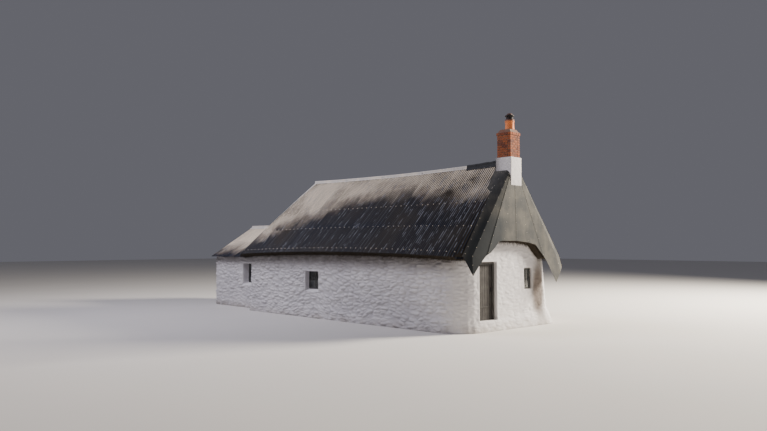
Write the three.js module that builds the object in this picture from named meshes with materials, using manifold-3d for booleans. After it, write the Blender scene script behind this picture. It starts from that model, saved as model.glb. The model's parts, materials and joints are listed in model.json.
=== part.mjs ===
// A small single-storey cottage of whitewashed rubble. Corrugated iron sheets lie over its old thatch,
// a hood of smooth sheets is bent round the thatch at the chimney gable, and a lower annex joins the
// other end. Millimetres: +X points to the chimney gable, +Y to the back and +Z up. The origin is on
// the ground under the middle of the main house.

import * as THREE from "three";
import { mergeVertices } from "three/addons/utils/BufferGeometryUtils.js";
import Module from "manifold-3d";

const wasm = await Module();
wasm.setup();

// Main walls
const LENGTH = 10200;
const WIDTH = 4800;
const WALL = 600;
const CORNER_RIGHT = 800; // plan radius of the two rounded corners at the chimney gable
const CORNER_LEFT = 300;
const CORNER_BACK_TOP = 1500; // the back one leans in as it rises, and has this radius at the top
const FOOT_HEIGHT = 500;
const FOOT_FLARES = [60, 15, 0, 0]; // how far the foot of the walls spreads at each level
const FOOT_FLARES_BACK = [220, 130, 20, 0]; // and at the back corner of the chimney gable
const FLOOR_TOP = 300;
const GABLE_TOP = 4200; // flat bed of the chimney on the gable wall
const WALL_LIMIT = 3000; // the side walls are trimmed by the thatch below this height

// Roof, as level outlines that shrink from the eaves to the ridge
const EAVES_OVERHANG = 220;
const EAVES_MIDDLE = 2235;
const EAVES_BOW = 110; // the eaves drop this much towards both ends
const RIDGE_MIDDLE = 4835;
const RIDGE_SAG = 50;
const RIDGE_SAG_REACH = 3700;
const RIGHT_EAVES_REACH = 300; // past the gable wall
const RIGHT_RIDGE_REACH = 100;
const LEFT_EAVES_REACH = 480;
const LEFT_HIP_LEAN = 1610; // run of the hip from its eaves to the ridge
const ROOF_CORNER_FRONT = 1000; // the two rounded corners over the chimney gable
const ROOF_CORNER_BACK = 650;
const ROOF_CORNER_LEFT = 400;
const RIDGE_STOP = 0.995; // sheets and thatch end just short of the ridge line

// Ridge sheets
const RIDGE_CAP_LIFT = 2;
const FLASHING_LIFT = 5;
const RIDGE_CAP_PAST_HIP = 60;
const ROLL_START = -0.35; // radians below the middle of the roll
const ROLL_CENTRE = 0.3;
const FLASHING_START = 3500;
const FLASHING_SWELL = 15; // rise of the flashing towards the chimney

// Thatch depth, measured on the level outlines
const THATCH_IN = 260;
const THATCH_IN_GABLE = 290;
const THATCH_DOWN_EAVES = 120;
const THATCH_DOWN_RIDGE = 360;
const SHEET_SHARE = 0.05; // share of that depth taken by the sheets
const THATCH_START = 0.0515;
const TRIM_OUT = -0.02;
const TRIM_IN = 1.002;
const TRIM_LOW = 0.0002;

// Corrugated sheets stop and the hood starts along a line that leans back up the slope
const HOOD_EDGE_EAVES = 280; // past the gable wall, as seen square to the corner
const HOOD_EDGE_RIDGE = -320;
const HOOD_FOLD = 1.655; // place round the roof where the near cheek is folded
const HOOD_FLARE = 90; // the hanging tips stand out this much
const JOINT_GAP = 0.00003;
const JOINT_STRIP = 0.003;
// Lower edge of the hood: place round the roof and height
const HOOD_NEAR_EDGE = [
  [1.655, 1600], [1.76, 1805], [1.87, 2000], [2.01, 2225], [2.06, 2370], [2.1, 2530], [2.16, 2560],
];
const HOOD_FAR_EDGE = [
  [2.4, 2560], [2.61, 2510], [2.72, 2450], [2.78, 2200], [2.83, 1940], [2.86, 1660], [2.9, 1290],
  [3.0, 1575], [3.345, 1745],
];
const THATCH_ABOVE_HOOD_EDGE = 120;

// Door in the chimney gable
const DOOR_FROM = 800; // from the front face of the house
const DOOR_WIDTH = 820;
const DOOR_HEAD = 1960;
const LINTEL = 90;
const LINTEL_BEARING = 100;
const FRAME_FACE = 90; // depth of the frame behind the wall face
const FRAME_DEPTH = 110;
const FRAME_WIDTH = 60;
const STOP_WIDTH = 12;
const STOP_DEPTH = 30;
const LEAF_BEHIND_STOP = 8;
const LEAF_THICK = 42;
const LEAF_CLEAR = 6;
const LEAF_LATCH_CLEAR = 10;
const LEAF_FOOT_CLEAR = 8;
const PIN_FROM_JAMB = 20;
const PIN_FROM_LEAF = 15;
const PIN_RADIUS = 5;
const PIN_CLEAR = 1;
const KNUCKLE_RADIUS = 10;
const KNUCKLE_HEIGHT = 44;
const STRAP = { length: 470, height: 40, thick: 6 };
const STRAP_HEIGHTS = { bottom: 620, top: 1640 };
const LATCH_HEIGHT = 1180;

// Windows: centre along the wall seen from outside, left to right. The whitewashed sill rises from the
// foot of the opening at the wall face to the frame
const WINDOW_FRAME = { width: 40, depth: 50 };
const PANE_THICK = 6;
const SIDE_WINDOW = { width: 680, foot: 870, head: 1560, recess: 180, sill: 80 };
const GABLE_WINDOW = { width: 400, foot: 1100, head: 1750, recess: 40, sill: 20 };
const ANNEX_WINDOW = { width: 650, foot: 880, head: 1720, recess: 300, sill: 80 };
const WINDOWS = [
  { name: "front_window", wall: "front", centre: -1320, ...SIDE_WINDOW },
  { name: "gable_window", wall: "gable", centre: 825, ...GABLE_WINDOW },
  { name: "back_window", wall: "back", centre: 1320, ...SIDE_WINDOW },
  { name: "annex_window", wall: "annex", centre: -5900, ...ANNEX_WINDOW },
];

// Chimney
const CHIMNEY_X = 5000;
const BASE_SIDE = 545;
const STACK_SIDE = 478;
const CAP_SIDE = 512;
const BASE_TOP = 5040;
const STACK_TOP = 5700;
const CAP_COURSE_TOP = 5785; // above it the cap slopes in to the pot
const CAP_TOP = 5890;
const CAP_TOP_SIDE = 350;
const POT_OFF_CENTRE = 30; // the pot stands nearer the back and the gable than the stack's middle
const POT_TOP = 6160;
const POT_RADIUS = 140;
const COWL_TOP = 6390;

// Annex
const ANNEX_LEFT = -8200;
const ANNEX_HALF = 1900;
const ANNEX_WALL = 500;
const ANNEX_EAVES = 1960;
const ANNEX_RIDGE = 3200;
const ANNEX_OVERHANG = 140;
const ANNEX_SHEET = 20;
const INNER_DOOR = { half: 400, head: 1960 };

const GABLE_X = LENGTH / 2;
const LEFT_X = -LENGTH / 2;
const FRONT_Y = -WIDTH / 2;
const BACK_Y = WIDTH / 2;
const GAP = 0.3;
const FAR = 20000;

const mix = THREE.MathUtils.lerp;
const QUARTER = Math.PI / 2;

// Solids

// A closed geometry as a solid with its faces turned outwards
function solid(geometry) {
  const bare = geometry.index ? geometry.clone() : geometry;
  bare.deleteAttribute("normal");
  bare.deleteAttribute("uv");
  const merged = mergeVertices(bare, 1e-3);
  const corners = [];
  const index = merged.index.array;
  for (let i = 0; i < index.length; i += 3) {
    const [a, b, c] = [index[i], index[i + 1], index[i + 2]];
    if (a !== b && b !== c && c !== a) corners.push(a, b, c);
  }
  const make = (list) =>
    new wasm.Manifold(
      new wasm.Mesh({
        numProp: 3,
        vertProperties: merged.attributes.position.array,
        triVerts: new Uint32Array(list),
      }),
    );
  const made = make(corners);
  if (made.volume() > 0) return made;
  const turned = [];
  for (let i = 0; i < corners.length; i += 3) turned.push(corners[i], corners[i + 2], corners[i + 1]);
  return make(turned);
}

function box(x0, x1, y0, y1, z0, z1) {
  const geometry = new THREE.BoxGeometry(x1 - x0, y1 - y0, z1 - z0);
  geometry.translate((x0 + x1) / 2, (y0 + y1) / 2, (z0 + z1) / 2);
  return solid(geometry);
}

// An outline in the XY plane, raised from z0 to z1
function prism(points, z0, z1) {
  const shape = new THREE.Shape(points.map(([x, y]) => new THREE.Vector2(x, y)));
  const geometry = new THREE.ExtrudeGeometry(shape, { depth: z1 - z0, bevelEnabled: false });
  return solid(geometry.translate(0, 0, z0));
}

// An outline in the YZ plane, run from x0 to x1
function prismAlongX(points, x0, x1) {
  const shape = new THREE.Shape(points.map(([y, z]) => new THREE.Vector2(y, z)));
  const geometry = new THREE.ExtrudeGeometry(shape, { depth: x1 - x0, bevelEnabled: false });
  const turn = new THREE.Matrix4().makeBasis(
    new THREE.Vector3(0, 1, 0),
    new THREE.Vector3(0, 0, 1),
    new THREE.Vector3(1, 0, 0),
  );
  return solid(geometry.applyMatrix4(turn).translate(x0, 0, 0));
}

// A body of revolution about a vertical axis, from a closed profile of [radius, height] points
function lathe(profile, x, y, segments = 24) {
  const points = profile.map(([r, z]) => new THREE.Vector2(r, z));
  const geometry = new THREE.LatheGeometry(points, segments);
  return solid(geometry.rotateX(QUARTER).translate(x, y, 0));
}

// A closed skin over an outer surface and an inner one, each a run of as many columns of points. Both
// are split along the same diagonals, so that slabs that lie on each other fit
function wrap(outer, inner) {
  const rows = [...outer, ...inner.toReversed()];
  const count = rows[0].length;
  const positions = rows.flat(2);
  const index = [];
  rows.forEach((row, i) => {
    const next = ((i + 1) % rows.length) * count;
    const rising = i < outer.length - 1 || i === rows.length - 1;
    for (let j = 0; j < count - 1; j++) {
      const [a, b, c, d] = [i * count + j, i * count + j + 1, next + j, next + j + 1];
      if (rising) index.push(a, b, d, a, d, c);
      else index.push(a, b, c, b, d, c);
    }
  });
  for (const j of [0, count - 1]) {
    for (let i = 0; i < rows.length / 2 - 1; i++) {
      const [a, b] = [i * count + j, (i + 1) * count + j];
      const [c, d] = [(rows.length - 1 - i) * count + j, (rows.length - 2 - i) * count + j];
      if (j) index.push(a, d, b, a, c, d);
      else index.push(a, b, d, a, d, c);
    }
  }
  const geometry = new THREE.BufferGeometry();
  geometry.setAttribute("position", new THREE.Float32BufferAttribute(positions, 3));
  geometry.setIndex(index);
  return solid(geometry);
}

function cutAll(body, ...tools) {
  return tools.reduce((rest, tool) => rest.subtract(tool), body);
}

// The separate body of a cut solid that reaches furthest down, or along another axis
function lowestBody(cut, axis = 2) {
  const bodies = cut.decompose();
  return bodies.reduce((best, body) =>
    body.boundingBox().min[axis] < best.boundingBox().min[axis] ? body : best,
  );
}

// Rounded rectangles, in plan

// The point at a place round a rounded rectangle: 0 to 1 is the front from left to right, 1 to 2 the
// front right corner, 2 to 3 the right side, and so on round to 8, which is 0 again
function roundPoint(place, { left, right, half, cornerLeft, cornerRight, cornerBack = cornerRight }) {
  const side = Math.floor(((place % 8) + 8) % 8);
  const share = place - Math.floor(place);
  const [s, c] = [Math.sin(share * QUARTER), Math.cos(share * QUARTER)];
  const [innerLeft, innerRight, innerBack] = [left + cornerLeft, right - cornerRight, right - cornerBack];
  const [yRight, yLeft, yBack] = [half - cornerRight, half - cornerLeft, half - cornerBack];
  switch (side) {
    case 0:
      return [mix(innerLeft, innerRight, share), -half];
    case 1:
      return [innerRight + cornerRight * s, -yRight - cornerRight * c];
    case 2:
      return [right, mix(-yRight, yBack, share)];
    case 3:
      return [innerBack + cornerBack * c, yBack + cornerBack * s];
    case 4:
      return [mix(innerBack, innerLeft, share), half];
    case 5:
      return [innerLeft - cornerLeft * s, yLeft + cornerLeft * c];
    case 6:
      return [left, mix(yLeft, -yLeft, share)];
    default:
      return [innerLeft - cornerLeft * c, -yLeft - cornerLeft * s];
  }
}

const steps = (from, to, count) => Array.from({ length: count + 1 }, (_, i) => mix(from, to, i / count));

// Every corner point of a rounded rectangle, in order
const CORNER_STEPS = 6;
const CORNER_POINTS = CORNER_STEPS + 1;
const CORNER_PLACES = [1, 3, 5, 7].flatMap((corner) => steps(corner, corner + 1, CORNER_STEPS));
const roundOutline = (rectangle) => CORNER_PLACES.map((place) => roundPoint(place, rectangle));

// Roof surfaces

const eavesZ = (x) => EAVES_MIDDLE - EAVES_BOW * (x / GABLE_X) ** 2;
const ridgeZ = (x) => RIDGE_MIDDLE + RIDGE_SAG * (x / RIDGE_SAG_REACH) ** 2;

// The roof's level outline: rise is 0 at the eaves and 1 at the ridge, depth is 0 on the sheets and 1
// on the underside of the thatch
function roofOutline(rise, depth) {
  const spread = 1 - Math.max(rise, 0);
  return {
    left: LEFT_X - LEFT_EAVES_REACH + LEFT_HIP_LEAN * (1 - spread) + THATCH_IN * depth,
    right: GABLE_X + mix(RIGHT_RIDGE_REACH, RIGHT_EAVES_REACH, spread) - THATCH_IN_GABLE * depth,
    half: (BACK_Y + EAVES_OVERHANG - THATCH_IN * depth) * spread,
    cornerLeft: (ROOF_CORNER_LEFT - THATCH_IN * depth) * spread,
    cornerRight: (ROOF_CORNER_FRONT - THATCH_IN * depth) * spread,
    cornerBack: (ROOF_CORNER_BACK - THATCH_IN * depth) * spread,
  };
}

function roofPoint(place, rise, depth) {
  const outline = roofOutline(rise, depth);
  const [x, y] = roundPoint(place, outline);
  const low = eavesZ(x) - THATCH_DOWN_EAVES * depth;
  const high = ridgeZ(x) - THATCH_DOWN_RIDGE * depth;
  const z = low + rise * (high - low);
  if (rise >= 0) return [x, y, z];
  const stand = (-rise * (high - low) * HOOD_FLARE) / 500;
  const flared = { ...outline, right: outline.right + stand, half: outline.half + stand };
  return [...roundPoint(place, flared), z];
}

// Levels that every slab of the roof shares
const RISES = steps(0, RIDGE_STOP, 6);

// A slab between two depths of the roof. Each column is a place round the roof, or a function that gives
// the place at a rise, with the rise at which the column starts
function roofSlab(columns, outer, inner) {
  const surface = (depth) =>
    columns.map(([place, low]) =>
      [low, ...RISES.map((rise) => Math.max(rise, low))].map((rise) =>
        roofPoint(typeof place === "function" ? place(rise) : place, rise, depth),
      ),
    );
  return wrap(surface(outer), surface(inner));
}

// Where the corrugated sheets give way to the hood, as a place round the roof. The back is drawn as the
// front, with the radius of its own corner
function hoodEdge(height, corner) {
  const rise = Math.max(height, 0);
  const outline = roofOutline(rise, 0);
  const start = outline.right - outline[corner];
  const past = GABLE_X + mix(HOOD_EDGE_EAVES, HOOD_EDGE_RIDGE, rise) - start;
  if (past < 0) {
    const first = outline.left + outline.cornerLeft;
    return (start + past - first) / (start - first);
  }
  const turn = Math.PI / 4 + Math.asin((past / outline[corner] - 1) / Math.SQRT2);
  return 1 + turn / QUARTER;
}

const riseAt = (place, z) => {
  const [x] = roundPoint(place, roofOutline(0, 0));
  return (z - eavesZ(x)) / (ridgeZ(x) - eavesZ(x));
};

const mirrored = (columns) =>
  columns
    .map(([place, low]) => [typeof place === "function" ? (rise) => 5 - place(rise) : 5 - place, low])
    .reverse();

const slopeColumns = (corner) =>
  steps(0, 1, 24).map((share) => [
    (rise) => mix(-0.5 + JOINT_GAP, hoodEdge(rise, corner) - JOINT_GAP, share),
    0,
  ]);
const frontColumns = slopeColumns("cornerRight");
const backColumns = mirrored(slopeColumns("cornerBack"));
const hipColumns = steps(5.5 + JOINT_GAP, 7.5 - JOINT_GAP, 12).map((place) => [place, 0]);

// One cheek of the hood, from the corrugated sheets to the fold, down to its hanging tip
const cheekPlace = (share, corner) => (rise) =>
  mix(hoodEdge(rise, corner) + JOINT_GAP, HOOD_FOLD - JOINT_GAP, share);
const cheekColumns = ([place, tip], corner) =>
  steps(0, 1, 3).map((share) => [cheekPlace(share, corner), share * riseAt(place, tip)]);
const nearCheekColumns = cheekColumns(HOOD_NEAR_EDGE[0], "cornerRight");
const farCheekColumns = mirrored(cheekColumns(HOOD_FAR_EDGE.at(-1), "cornerBack"));
const hoodGableColumns = [...HOOD_NEAR_EDGE, ...HOOD_FAR_EDGE].map(([place, z]) => [place, riseAt(place, z)]);

// The thatch under the hood starts at the eaves and rises in an arch over the gable
const archColumns = [...HOOD_NEAR_EDGE, ...HOOD_FAR_EDGE].map(([place, z]) => [
  place,
  Math.max(0, riseAt(place, z + THATCH_ABOVE_HOOD_EDGE)),
]);
const cheekThatchColumns = (corner) => steps(0, 2 / 3, 2).map((share) => [cheekPlace(share, corner), 0]);
const endColumns = [
  ...cheekThatchColumns("cornerRight"), ...archColumns, ...mirrored(cheekThatchColumns("cornerBack")),
];

const sheet = (columns) => roofSlab(columns, 0, SHEET_SHARE);
const thatch = (columns) => roofSlab(columns, THATCH_START, 1);

// The whole roof shell with a little to spare, which trims whatever stands under it. Narrow strips
// bridge the joints between its parts
const strip = (place) => [-JOINT_STRIP, JOINT_STRIP].map((aside) => [(rise) => place(rise) + aside, 0]);
const edges = [
  () => -0.5, () => 5.5, (rise) => hoodEdge(rise, "cornerRight"), (rise) => 5 - hoodEdge(rise, "cornerBack"),
];
const trims = [frontColumns, backColumns, hipColumns, endColumns, ...edges.map(strip)].map((columns) =>
  roofSlab(columns.map(([place, low]) => [place, low - TRIM_LOW]), TRIM_OUT, TRIM_IN),
);
const underRoof = (body) => lowestBody(cutAll(body, ...trims));

// Walls

const mainPlan = (grow, cornerBack) => ({
  left: LEFT_X - grow,
  right: GABLE_X + grow,
  half: BACK_Y + grow,
  cornerLeft: CORNER_LEFT + grow,
  cornerRight: CORNER_RIGHT + grow,
  cornerBack: cornerBack + grow,
});

// The ring of the main walls, with a foot that spreads a little
function mainRing() {
  const heights = [0, FOOT_HEIGHT / 2, FOOT_HEIGHT, GABLE_TOP];
  const levels = heights.map((height, i) => {
    const cornerBack = height < GABLE_TOP ? CORNER_RIGHT : CORNER_BACK_TOP;
    const plans = [FOOT_FLARES, FOOT_FLARES_BACK].map((flares) => mainPlan(flares[i], cornerBack));
    const outlines = plans.map(roundOutline);
    const inBackCorner = (k) => k >= CORNER_POINTS && k < 2 * CORNER_POINTS;
    return outlines[0].map((point, k) => [...(inBackCorner(k) ? outlines[1][k] : point), height]);
  });
  const bodies = levels.slice(1).map((level, i) => stacked(levels[i], level));
  const outer = bodies.reduce((whole, body) => whole.add(body));
  const inner = {
    left: LEFT_X + WALL,
    right: GABLE_X - WALL,
    half: BACK_Y - WALL,
    cornerLeft: 1,
    cornerRight: CORNER_RIGHT - WALL,
  };
  return outer.subtract(prism(roundOutline(inner), -1, GABLE_TOP + 1));
}

// A body between two level outlines with as many points
function stacked(low, high) {
  const count = low.length;
  const index = [];
  const flat = low.map(([x, y]) => new THREE.Vector2(x, y));
  for (const [a, b, c] of THREE.ShapeUtils.triangulateShape(flat, [])) {
    index.push(c, b, a, a + count, b + count, c + count);
  }
  for (let i = 0; i < count; i++) {
    const next = (i + 1) % count;
    index.push(i, next, next + count, i, next + count, i + count);
  }
  const geometry = new THREE.BufferGeometry();
  geometry.setAttribute("position", new THREE.Float32BufferAttribute([...low, ...high].flat(), 3));
  geometry.setIndex(index);
  return solid(geometry);
}

// Window openings. Each is drawn in its own frame, looking at the wall from outside: x to the right,
// y into the wall, with the wall face at y = 0
const WALL_FRAMES = {
  front: { turn: 0, face: -FRONT_Y, thick: WALL },
  gable: { turn: QUARTER, face: GABLE_X, thick: WALL },
  back: { turn: 2 * QUARTER, face: BACK_Y, thick: WALL },
  annex: { turn: 0, face: ANNEX_HALF, thick: ANNEX_WALL },
};

function onWall(body, { wall, centre }) {
  const { turn, face } = WALL_FRAMES[wall];
  const matrix = new THREE.Matrix4().makeRotationZ(turn);
  matrix.multiply(new THREE.Matrix4().makeTranslation(centre, -face, 0));
  return body.transform(matrix.toArray());
}

// The hole through the wall, with a sill that slopes down to the wall face
function windowHole(window) {
  const { width, foot, head, recess, sill } = window;
  const { thick } = WALL_FRAMES[window.wall];
  const section = [
    [-200, foot - (200 * sill) / recess], [recess, foot + sill], [thick + 200, foot + sill],
    [thick + 200, head], [-200, head],
  ];
  return onWall(prismAlongX(section, -width / 2, width / 2), window);
}

function windowFrame(window) {
  const { width, foot, head, recess, sill } = window;
  const { width: bar, depth } = WINDOW_FRAME;
  const half = width / 2 - GAP;
  const low = foot + sill + GAP;
  const outer = box(-half, half, recess + GAP, recess + depth, low, head - GAP);
  const inner = box(-half + bar, half - bar, recess - 10, recess + depth + 10, low + bar, head - GAP - bar);
  return onWall(outer.subtract(inner), window);
}

function windowPane(window) {
  const { width, foot, head, recess, sill } = window;
  const { width: bar, depth } = WINDOW_FRAME;
  const half = width / 2 - bar - 2 * GAP;
  const low = foot + sill + bar + 2 * GAP;
  const front = recess + depth / 2 - PANE_THICK / 2;
  return onWall(box(-half, half, front, front + PANE_THICK, low, head - bar - 2 * GAP), window);
}

const windowHoles = (wall) => WINDOWS.filter((window) => window.wall === wall).map(windowHole);

// Door opening, in the frame of the gable wall
const DOOR_Y = FRONT_Y + DOOR_FROM;
const DOOR_FAR_Y = DOOR_Y + DOOR_WIDTH;

const lintelBox = (grow) =>
  box(
    GABLE_X - WALL - grow,
    GABLE_X - 4 + grow,
    DOOR_Y - LINTEL_BEARING - grow,
    DOOR_FAR_Y + LINTEL_BEARING + grow,
    DOOR_HEAD - grow,
    DOOR_HEAD + LINTEL + grow,
  );

// A piece of the wall ring between planes, trimmed by the roof
function ringPiece(ring, [x0, x1], [y0, y1], [z0, z1], ...cuts) {
  const piece = ring.intersect(box(x0 + GAP / 2, x1 - GAP / 2, y0 + GAP / 2, y1 - GAP / 2, z0, z1));
  return underRoof(cutAll(piece, ...cuts));
}

function mainWalls() {
  const ring = mainRing();
  const leftSplit = LEFT_X + WALL;
  const rightSplit = GABLE_X - CORNER_RIGHT;
  const frontRow = [-FAR, FRONT_Y + CORNER_RIGHT];
  const backRow = [BACK_Y - CORNER_RIGHT, FAR];
  const low = [0, WALL_LIMIT];
  const lintel = lintelBox(GAP);
  const innerDoor = box(-FAR, 0, -INNER_DOOR.half, INNER_DOOR.half, FLOOR_TOP, INNER_DOOR.head);
  return {
    front_wall: ringPiece(ring, [leftSplit, rightSplit], frontRow, low, ...windowHoles("front")),
    back_wall: ringPiece(ring, [leftSplit, rightSplit], backRow, low, ...windowHoles("back")),
    left_end_wall: ringPiece(ring, [-FAR, leftSplit], [-FAR, FAR], low, innerDoor),
    corner_front_right: ringPiece(ring, [rightSplit, FAR], frontRow, low, lintel),
    corner_back_right: ringPiece(ring, [rightSplit, FAR], backRow, low),
    gable_wall: ringPiece(
      ring, [rightSplit, FAR], [DOOR_FAR_Y, BACK_Y - CORNER_RIGHT], [0, GABLE_TOP],
      lintel, ...windowHoles("gable"),
    ),
    door_head_wall: ringPiece(
      ring, [rightSplit, FAR], [DOOR_Y, DOOR_FAR_Y], [DOOR_HEAD + LINTEL + GAP, GABLE_TOP],
    ),
    door_sill_wall: ringPiece(ring, [rightSplit, FAR], [DOOR_Y, DOOR_FAR_Y], [0, FLOOR_TOP]),
  };
}

const floorSlab = () =>
  prism(
    roundOutline({
      left: LEFT_X + WALL + GAP,
      right: GABLE_X - WALL - GAP,
      half: BACK_Y - WALL - GAP,
      cornerLeft: 2,
      cornerRight: CORNER_RIGHT - WALL - GAP,
    }),
    0,
    FLOOR_TOP,
  );

// Door

const FRAME_X = GABLE_X - FRAME_FACE;
const LEAF_X = FRAME_X - STOP_DEPTH - LEAF_BEHIND_STOP; // outer face of the leaf
const JAMB_Y = DOOR_Y + FRAME_WIDTH;
const JAMB_FAR_Y = DOOR_FAR_Y - FRAME_WIDTH;
const PIN_X = LEAF_X - LEAF_THICK - PIN_FROM_LEAF;
const PIN_Y = JAMB_Y + PIN_FROM_JAMB;

function doorFrame() {
  const back = FRAME_X - FRAME_DEPTH;
  const head = DOOR_HEAD - GAP;
  const outer = box(back, FRAME_X, DOOR_Y + GAP, DOOR_FAR_Y - GAP, FLOOR_TOP + GAP, head);
  const rebate = box(back - 10, FRAME_X - STOP_DEPTH, JAMB_Y, JAMB_FAR_Y, -10, head - FRAME_WIDTH);
  const stopHead = head - FRAME_WIDTH - STOP_WIDTH;
  const stop = box(back - 10, FRAME_X + 10, JAMB_Y + STOP_WIDTH, JAMB_FAR_Y - STOP_WIDTH, -10, stopHead);
  return cutAll(outer, rebate, stop);
}

const doorLeaf = () =>
  box(
    LEAF_X - LEAF_THICK,
    LEAF_X,
    JAMB_Y + LEAF_CLEAR,
    JAMB_FAR_Y - LEAF_LATCH_CLEAR,
    FLOOR_TOP + LEAF_FOOT_CLEAR,
    DOOR_HEAD - FRAME_WIDTH - LEAF_CLEAR,
  );

const rod = (radius, z0, z1) => lathe([[0, z0], [radius, z0], [radius, z1], [0, z1]], PIN_X, PIN_Y, 16);

// A strap on the inside of the leaf, with an eye that turns on the pin
function doorStrap(z) {
  const back = LEAF_X - LEAF_THICK - GAP;
  const plate = box(
    back - STRAP.thick, back, PIN_Y, PIN_Y + STRAP.length, z - STRAP.height / 2, z + STRAP.height / 2,
  );
  const eye = rod(KNUCKLE_RADIUS, z - KNUCKLE_HEIGHT / 2, z + KNUCKLE_HEIGHT / 2);
  return plate.add(eye).subtract(rod(PIN_RADIUS + PIN_CLEAR, z - KNUCKLE_HEIGHT, z + KNUCKLE_HEIGHT));
}

// The pin and its foot, which is driven into the jamb
function doorPintle(z) {
  const foot = z - KNUCKLE_HEIGHT / 2 - 5;
  const arm = box(PIN_X - PIN_RADIUS, PIN_X + PIN_RADIUS, JAMB_Y + GAP, PIN_Y + PIN_RADIUS, foot - 12, foot);
  return arm.add(rod(PIN_RADIUS, foot - 12, z + KNUCKLE_HEIGHT / 2 + 6));
}

// A thumb latch: a plate with a bowed grip
function doorLatch() {
  const y = JAMB_FAR_Y - LEAF_LATCH_CLEAR - 60;
  const face = LEAF_X + GAP;
  const plate = box(face, face + 4, y - 18, y + 18, LATCH_HEIGHT - 90, LATCH_HEIGHT + 90);
  const grip = box(face + 1, face + 34, y - 9, y + 9, LATCH_HEIGHT - 70, LATCH_HEIGHT + 50);
  const gap = box(face + 4, face + 24, y - 20, y + 20, LATCH_HEIGHT - 58, LATCH_HEIGHT + 38);
  return plate.add(grip).subtract(gap);
}

// Ridge

const roofSlope = (x) => (ridgeZ(x) - eavesZ(x)) / (BACK_Y + EAVES_OVERHANG);

// A folded sheet that lies astride the ridge, with a roll along its crown
function ridgeSheet(x0, x1, { wing, thick, roll, lift, swell }) {
  const rings = steps(x0, x1, 12).map((x) => {
    const slope = roofSlope(x);
    const crown = thick + swell(x);
    const foot = roll * Math.cos(ROLL_START);
    const edge = [[wing, thick - wing * slope], [foot, crown - foot * slope]];
    const round = steps(ROLL_START, Math.PI - ROLL_START, 8).map((turn) => [
      roll * Math.cos(turn),
      crown + roll * (ROLL_CENTRE + Math.sin(turn)),
    ]);
    const other = edge.toReversed().map(([y, z]) => [-y, z]);
    const under = [[-wing, -wing * slope], [0, 0], [wing, -wing * slope]];
    const section = [...under, ...edge, ...round, ...other];
    return section.map(([y, z]) => [x, y, ridgeZ(x) + lift + z]);
  });
  return tube(rings);
}

// A closed body through a run of closed rings, which are flat and stand across X
function tube(rings) {
  const count = rings[0].length;
  const index = [];
  const flat = rings[0].map(([, y, z]) => new THREE.Vector2(y, z));
  const last = (rings.length - 1) * count;
  for (const [a, b, c] of THREE.ShapeUtils.triangulateShape(flat, [])) {
    index.push(a, c, b, a + last, b + last, c + last);
  }
  for (let i = 0; i < rings.length - 1; i++) {
    for (let j = 0; j < count; j++) {
      const [a, b] = [i * count + j, i * count + ((j + 1) % count)];
      index.push(a, b, b + count, a, b + count, a + count);
    }
  }
  const geometry = new THREE.BufferGeometry();
  geometry.setAttribute("position", new THREE.Float32BufferAttribute(rings.flat(2), 3));
  geometry.setIndex(index);
  return solid(geometry);
}

const CHIMNEY_FACE = CHIMNEY_X - BASE_SIDE / 2;

function ridgePieces() {
  const start = LEFT_X - LEFT_EAVES_REACH + LEFT_HIP_LEAN - RIDGE_CAP_PAST_HIP;
  const swell = (x) => FLASHING_SWELL * THREE.MathUtils.smoothstep(x, FLASHING_START, CHIMNEY_FACE);
  const cap = { wing: 60, thick: 6, roll: 34, lift: RIDGE_CAP_LIFT, swell: () => 0 };
  const flashing = { wing: 110, thick: 12, roll: 42, lift: FLASHING_LIFT, swell };
  return {
    ridge_cap: ridgeSheet(start, FLASHING_START - GAP, cap),
    ridge_flashing: ridgeSheet(FLASHING_START, CHIMNEY_FACE - GAP, flashing),
  };
}

// Chimney

const squareBlock = (side, z0, z1) =>
  box(CHIMNEY_X - side / 2, CHIMNEY_X + side / 2, -side / 2, side / 2, z0, z1);

const squareOutline = (side, z) =>
  [[-1, -1], [1, -1], [1, 1], [-1, 1]].map(([a, b]) => [CHIMNEY_X + (a * side) / 2, (b * side) / 2, z]);

// A projecting course with mortar sloped up to the pot
function chimneyCap() {
  const foot = squareOutline(CAP_SIDE - 4, CAP_COURSE_TOP - 1);
  const slope = stacked(foot, squareOutline(CAP_TOP_SIDE, CAP_TOP));
  return squareBlock(CAP_SIDE, STACK_TOP + GAP, CAP_COURSE_TOP).add(slope);
}

const chimneyPot = () =>
  lathe(
    [
      [POT_RADIUS - 32, CAP_TOP + GAP], [POT_RADIUS, CAP_TOP + GAP], [POT_RADIUS, CAP_TOP + 28],
      [POT_RADIUS - 6, CAP_TOP + 44], [POT_RADIUS - 12, POT_TOP - 52], [POT_RADIUS, POT_TOP - 40],
      [POT_RADIUS, POT_TOP], [POT_RADIUS - 26, POT_TOP], [POT_RADIUS - 32, CAP_TOP + GAP],
    ],
    CHIMNEY_X + POT_OFF_CENTRE, POT_OFF_CENTRE, 32,
  );

const chimneyCowl = () =>
  lathe(
    [
      [0, POT_TOP + GAP], [134, POT_TOP + GAP], [136, POT_TOP + 38], [104, POT_TOP + 54],
      [102, POT_TOP + 112], [134, POT_TOP + 126], [138, POT_TOP + 142], [132, POT_TOP + 160],
      [86, POT_TOP + 176], [80, POT_TOP + 204], [44, COWL_TOP - 8], [0, COWL_TOP],
    ],
    CHIMNEY_X + POT_OFF_CENTRE, POT_OFF_CENTRE, 32,
  );

// Annex

const ANNEX_EDGE = ANNEX_HALF + ANNEX_OVERHANG;
const annexSlope = (ANNEX_RIDGE - ANNEX_EAVES) / ANNEX_EDGE;
const annexRoofZ = (y) => ANNEX_RIDGE - Math.abs(y) * annexSlope;

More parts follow.
